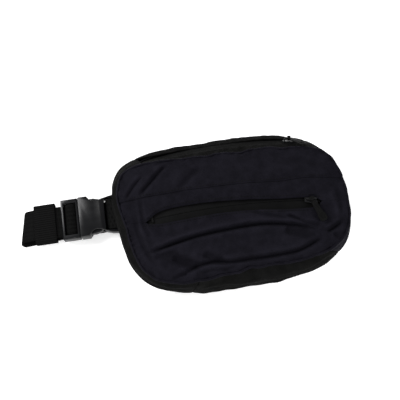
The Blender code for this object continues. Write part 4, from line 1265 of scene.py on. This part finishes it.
class WAISTPACK_OT_zips(bpy.types.Operator):
    """Build both zips: tapes, coils, stops, sliders and pulls"""

    bl_idname = "waistpack.zips"
    bl_label = "Zips"

    def execute(self, context):
        both = (
            ("main", MAIN_TRACK, ("rear", "front"), 36.0),
            ("pocket", POCKET_TRACK, ("upper", "lower"), 27.0),
        )
        for prefix, track, words, skew in both:
            for side, word in zip((1, -1), words):
                zip_tape(f"{prefix}_tape_{word}", track, side, f"{prefix}_zip_tape_{word}")
            zip_coil(f"{prefix}_coil_pair", track, f"{prefix}_zip_coil")
            zip_stops(prefix, track)
            zip_slider(prefix, track)
            zip_pull(prefix, track, math.radians(skew))
        return {"FINISHED"}


# ---------------------------------------------------------------- belt


def belt_point(x, z, shift=0.0):
    return (BAG_X + x * MM, BELT_Y + shift * MM, z * MM)


def strap(path, section, skews):
    """A strap along an upright path. A skew slants the strap's ends where it folds."""
    count, sides = len(path), len(section)
    run = np.gradient(path, axis=0)
    up = np.stack((-run[:, 2], np.zeros(count), run[:, 0]), axis=-1)
    up /= np.linalg.norm(up, axis=1)[:, None]
    corners = np.array(section + section[:1])
    length = float(travelled(path)[-1])

    def place(u, v):
        i, j = np.rint(u * (count - 1)).astype(int), np.rint(v * sides).astype(int)
        across = corners[j, 0]
        shift = np.stack((skews[i] * across, across, np.zeros(len(i))), axis=-1)
        return path[i] + shift + up[i] * corners[j, 1][:, None]

    bm = patch(count - 1, sides, place, length, travelled(corners)[-1])
    close_tube(bm, sides)
    return bm, length


def arc_pairs(centre, radius, start, end, count):
    turns = [math.radians(start + (end - start) * i / count) for i in range(count + 1)]
    return [(centre[0] + radius * math.cos(t), centre[1] + radius * math.sin(t)) for t in turns]


def layer(number, *xs):
    """Points of one layer of the folded belt, counted up from the table."""
    return [(x, LAYER_Z + LAYER_STEP * number) for x in xs]


def layer_turn(x, number, end):
    """The fold that takes the belt down from a layer to the next, at x."""
    middle = LAYER_Z + LAYER_STEP * (number - 0.5)
    return arc_pairs((x, middle), LAYER_STEP / 2, 90, end, 4)


def webbing(name, pairs, nodes, body, count, shifts=None, fold_x=None):
    """One run of webbing. Returns the piece and its length."""
    shifts = shifts or [0.0] * len(pairs)
    path = curve_through([belt_point(x, z, shift) for (x, z), shift in zip(pairs, shifts)], count)
    skews = np.zeros(len(path))
    if fold_x is not None:
        skews = 0.17 * bell((path[:, 0] - BAG_X) / MM - fold_x, 14.0)
    bm, length = strap(path, strap_outline(sizes().webbing_width, sizes().webbing_thickness), skews)
    return add_piece(name, bm, "webbing", body, nodes), length


class WAISTPACK_OT_belt(bpy.types.Operator):
    """Build the belt: stored folds, the slack fold, the run through the buckle, and the keeper"""

    bl_idname = "waistpack.belt"
    bl_label = "Belt"

    def execute(self, context):
        width = sizes().webbing_width
        stored = layer(4, 80, 75, 50, 0, -50, -70) + layer_turn(STACK_LEFT, 4, 270)
        stored += layer(3, -68, -40, 0, 40, 68) + layer_turn(STACK_RIGHT, 3, -90)
        stored += layer(2, 67, 40, 0, -40, -69, -71.4)
        piece, length = webbing("belt_stored_webbing", stored, ["belt_stored_folds"], "bag", 200)

        slack = layer(2, -71.7) + layer_turn(STACK_LEFT, 2, 270)
        slack += layer(1, -68, -40, 0, 40, 68) + layer_turn(STACK_RIGHT, 1, -90)
        slack += layer(0, 69.7)
        piece, length = webbing("belt_slack_webbing", slack, ["belt_slack_fold"], None, 120)
        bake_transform(piece)

        upper, tail = 5.5, 3.9
        fold_r = (upper - LAYER_Z) / 2
        fold_x = BELT_FOLD_X + fold_r + 0.6
        main = layer(0, 69.4, 60, 20, -20, -60, -100, -130, -146, -156, fold_x)
        shifts = [0.0] * 6 + [-0.6, -1.4, -2.0, -2.4]
        main += arc_pairs((fold_x, LAYER_Z + fold_r), fold_r, 270, 90, 8)[1:-1]
        shifts += [-2.2, -1.9, -1.5, -1.1, -0.7, -0.4, -0.1]
        main += [(x, upper) for x in (-160, -154, -146, -138, -131.6)]
        shifts += [0.2, 0.6, 0.6, 0.3, 0.0]
        over_bar = np.radians(range(165, -16, -15))
        main += [(-125.4 + 4.0 * math.cos(t), 6.9 + 2.9 * math.sin(t)) for t in over_bar]
        main += [(-123.0, 4.4)] + [(x, tail) for x in (-127, -134, -143, -151)]
        shifts += [0.0] * (len(main) - len(shifts))
        piece, length = webbing("belt_main_webbing", main, ["belt_main_run"], "belt", 330, shifts, fold_x)
        self.keeper()
        self.anchor(width)
        return {"FINISHED"}

    def keeper(self):
        """An elastic loop round the upper run and the tail."""
        low, high, corner = 2.3 * MM, 7.1 * MM, 1.3 * MM
        half = sizes().webbing_width / 2 + 3.0 * MM - corner
        loop = []
        for side, level, start in ((1, low + corner, -90), (1, high - corner, 0), (-1, high - corner, 90),
                                   (-1, low + corner, 180)):
            loop += arc_pairs((BELT_Y + side * half, level), corner, start, start + 90, 4)
        x = BAG_X + KEEPER_X * MM
        path = []
        for (y, z), (next_y, next_z) in zip(loop, loop[1:] + loop[:1]):
            steps = max(1, int(math.hypot(next_y - y, next_z - z) / (1.2 * MM)))
            shares = [k / steps for k in range(steps)]
            path += [(x, y + (next_y - y) * share, z + (next_z - z) * share) for share in shares]
        path = np.array(path)
        run = np.roll(path, -1, axis=0) - np.roll(path, 1, axis=0)
        ups = np.stack((np.zeros(len(run)), run[:, 2], -run[:, 1]), axis=-1)
        bm = sweep(path, ups, strap_outline(17.0 * MM, 1.1 * MM), closed=True)
        add_piece("belt_keeper_elastic", bm, "webbing", "keeper", ["belt_keeper"], material="elastic")

    def anchor(self, width):
        """The doubled webbing that ties the buckle's socket to the bag."""
        path = [(-77, 6.6), (-80, 6.6), (-84, 6.7), (-87.6, 7.4), (-90, 8.1)]
        path += arc_pairs((-94.9, 6.2), 2.0, 90, 270, 8)
        path += [(-90, 3.9), (-87.6, 4.3), (-84, 5.0), (-80, 5.1), (-77, 5.1)]
        piece, length = webbing("anchor_webbing_loop", path, ["anchor_webbing"], "bag", 90)


# ---------------------------------------------------------------- buckle


def rounded_part(name, node, body, width, corner=0.0):
    """A moulded part with rounded edges, made from the plain part it stands for."""
    bm = bmesh.new()
    bm.from_mesh(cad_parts[node].data)
    bmesh.ops.remove_doubles(bm, verts=bm.verts, dist=1e-6)
    bmesh.ops.dissolve_limit(bm, angle_limit=math.radians(1.0), verts=bm.verts, edges=bm.edges)
    if corner:
        left = min(vert.co.x for vert in bm.verts) + 0.1 * MM
        outer = {v for v in bm.verts if v.co.x < left and abs(v.co.y - BELT_Y) > 14 * MM}
        upright = [e for e in bm.edges if abs(e.verts[0].co.z - e.verts[1].co.z) > 1 * MM]
        posts = [e for e in upright if outer.issuperset(e.verts)]
        bevel_edges(bm, posts, corner, 6)
    piece = add_piece(name, bm, "buckle_plastic", body, [node], sharp=45)
    rounding = piece.modifiers.new("Rounding", "BEVEL")
    rounding.width = width
    rounding.segments = 3
    rounding.limit_method = "ANGLE"
    rounding.angle_limit = math.radians(30.0)


class WAISTPACK_OT_buckle(bpy.types.Operator):
    """Build the side-release buckle: socket, ladder frame and latch arms"""

    bl_idname = "waistpack.buckle"
    bl_label = "Buckle"

    def execute(self, context):
        rounded_part("buckle_socket", "buckle_female", "bag", 0.55 * MM)
        rounded_part("buckle_frame", "buckle_male", "belt", 0.6 * MM, 3.4 * MM)
        for word in ("upper", "lower"):
            rounded_part(f"buckle_arm_{word}", f"latch_arm_{word}", f"latch_arm_{word}", 0.4 * MM)
        return {"FINISHED"}


# ---------------------------------------------------------------- stage


CAMERA_ELEVATION = math.radians(72.0)
CAMERA_ROLL = math.radians(8.5)
CAMERA_DISTANCE = 0.56
VIEW_WIDTH = 0.3086  # of the frame, at the front panel's height


class WAISTPACK_OT_stage(bpy.types.Operator):
    """Build the floor, the lights and the camera"""

    bl_idname = "waistpack.stage"
    bl_label = "Stage"

    def execute(self, context):
        scene = context.scene
        scene.view_settings.view_transform = "Standard"
        bm = bmesh.new()
        bmesh.ops.create_grid(bm, x_segments=2, y_segments=2, size=6.0)
        mesh = bpy.data.meshes.new("floor")
        bm.to_mesh(mesh)
        bm.free()
        floor = bpy.data.objects.new("floor", mesh)
        floor.location = (0.0, 0.0, -0.05 * MM)
        scene.collection.objects.link(floor)
        paper = Shader("floor_paper", colours().floor, 0.9, specular=0.1)
        grain = paper.noise("Object", 40.0, 2.0)
        paper.bump(grain.outputs["Fac"], 0.02, 0.5 * MM)
        paper.set("Emission Color", (1.0, 1.0, 1.0, 1.0))
        paper.set("Emission Strength", 0.35)
        mesh.materials.append(paper.material)
        self.lights(scene)
        self.camera(scene)
        return {"FINISHED"}

    def lights(self, scene):
        world = bpy.data.worlds.new("studio")
        scene.world = world
        world.use_nodes = True
        back = world.node_tree.nodes["Background"]
        back.inputs["Color"].default_value = (1.0, 1.0, 1.0, 1.0)
        back.inputs["Strength"].default_value = 0.5
        lamps = (
            ("left_softbox", (-0.75, 0.55, 0.75), 0.7, 18.0),
            ("right_softbox", (0.95, -0.25, 0.8), 0.7, 7.5),
            ("low_softbox", (-0.15, -1.0, 0.6), 0.6, 8.0),
        )
        target = Vector((0.02, 0.0, 0.02))
        for name, place, size, power in lamps:
            lamp = bpy.data.lights.new(name, "AREA")
            lamp.shape = "DISK"
            lamp.size = size
            lamp.energy = power
            holder = bpy.data.objects.new(name, lamp)
            holder.location = place
            holder.rotation_mode = "QUATERNION"
            holder.rotation_quaternion = (target - Vector(place)).to_track_quat("-Z", "Y")
            scene.collection.objects.link(holder)

    def camera(self, scene):
        back = Vector((0.0, -math.cos(CAMERA_ELEVATION), math.sin(CAMERA_ELEVATION)))
        right = Vector((1.0, 0.0, 0.0))
        up = back.cross(right)
        roll_right = right * math.cos(CAMERA_ROLL) - up * math.sin(CAMERA_ROLL)
        roll_up = right * math.sin(CAMERA_ROLL) + up * math.cos(CAMERA_ROLL)
        target = Vector((BAG_X, 0.0, 20.0 * MM)) - roll_right * 23.5 * MM + roll_up * 7.9 * MM
        lens = bpy.data.cameras.new("camera")
        lens.sensor_width = 36.0
        lens.lens = 36.0 * CAMERA_DISTANCE / VIEW_WIDTH
        lens.clip_start, lens.clip_end = 0.01, 20.0
        holder = bpy.data.objects.new("camera", lens)
        holder.matrix_world = Matrix.Translation(target + back * CAMERA_DISTANCE) @ Matrix(
            (roll_right, roll_up, back)
        ).transposed().to_4x4()
        scene.collection.objects.link(holder)
        scene.camera = holder


# ---------------------------------------------------------------- panel and run


OPERATORS = (
    WAISTPACK_OT_front,
    WAISTPACK_OT_walls,
    WAISTPACK_OT_bindings,
    WAISTPACK_OT_back,
    WAISTPACK_OT_zips,
    WAISTPACK_OT_belt,
    WAISTPACK_OT_buckle,
    WAISTPACK_OT_stage,
)


class WAISTPACK_PT_builder(bpy.types.Panel):
    """Lists the sizes, the colours and the building steps"""

    bl_label = "Waist Pack"
    bl_idname = "WAISTPACK_PT_builder"
    bl_space_type = "VIEW_3D"
    bl_region_type = "UI"
    bl_category = "Waist Pack"

    def draw(self, context):
        for group in (context.scene.waist_pack_sizes, context.scene.waist_pack_colours):
            box = self.layout.box()
            for name in group.__annotations__:
                box.prop(group, name)
        for operator in OPERATORS:
            self.layout.operator(operator.bl_idname)


CLASSES = (PackSizes, PackColours, *OPERATORS, WAISTPACK_PT_builder)


def register():
    for group in CLASSES:
        bpy.utils.register_class(group)
    bpy.types.Scene.waist_pack_sizes = PointerProperty(type=PackSizes)
    bpy.types.Scene.waist_pack_colours = PointerProperty(type=PackColours)


def unregister():
    del bpy.types.Scene.waist_pack_colours
    del bpy.types.Scene.waist_pack_sizes
    for group in reversed(CLASSES):
        bpy.utils.unregister_class(group)


def main():
    register()
    bpy.ops.waistpack.front()
    bpy.ops.waistpack.walls()
    bpy.ops.waistpack.bindings()
    bpy.ops.waistpack.back()
    bpy.ops.waistpack.zips()
    bpy.ops.waistpack.belt()
    bpy.ops.waistpack.buckle()
    bpy.ops.waistpack.stage()
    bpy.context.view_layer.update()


if __name__ == "__main__":
    main()
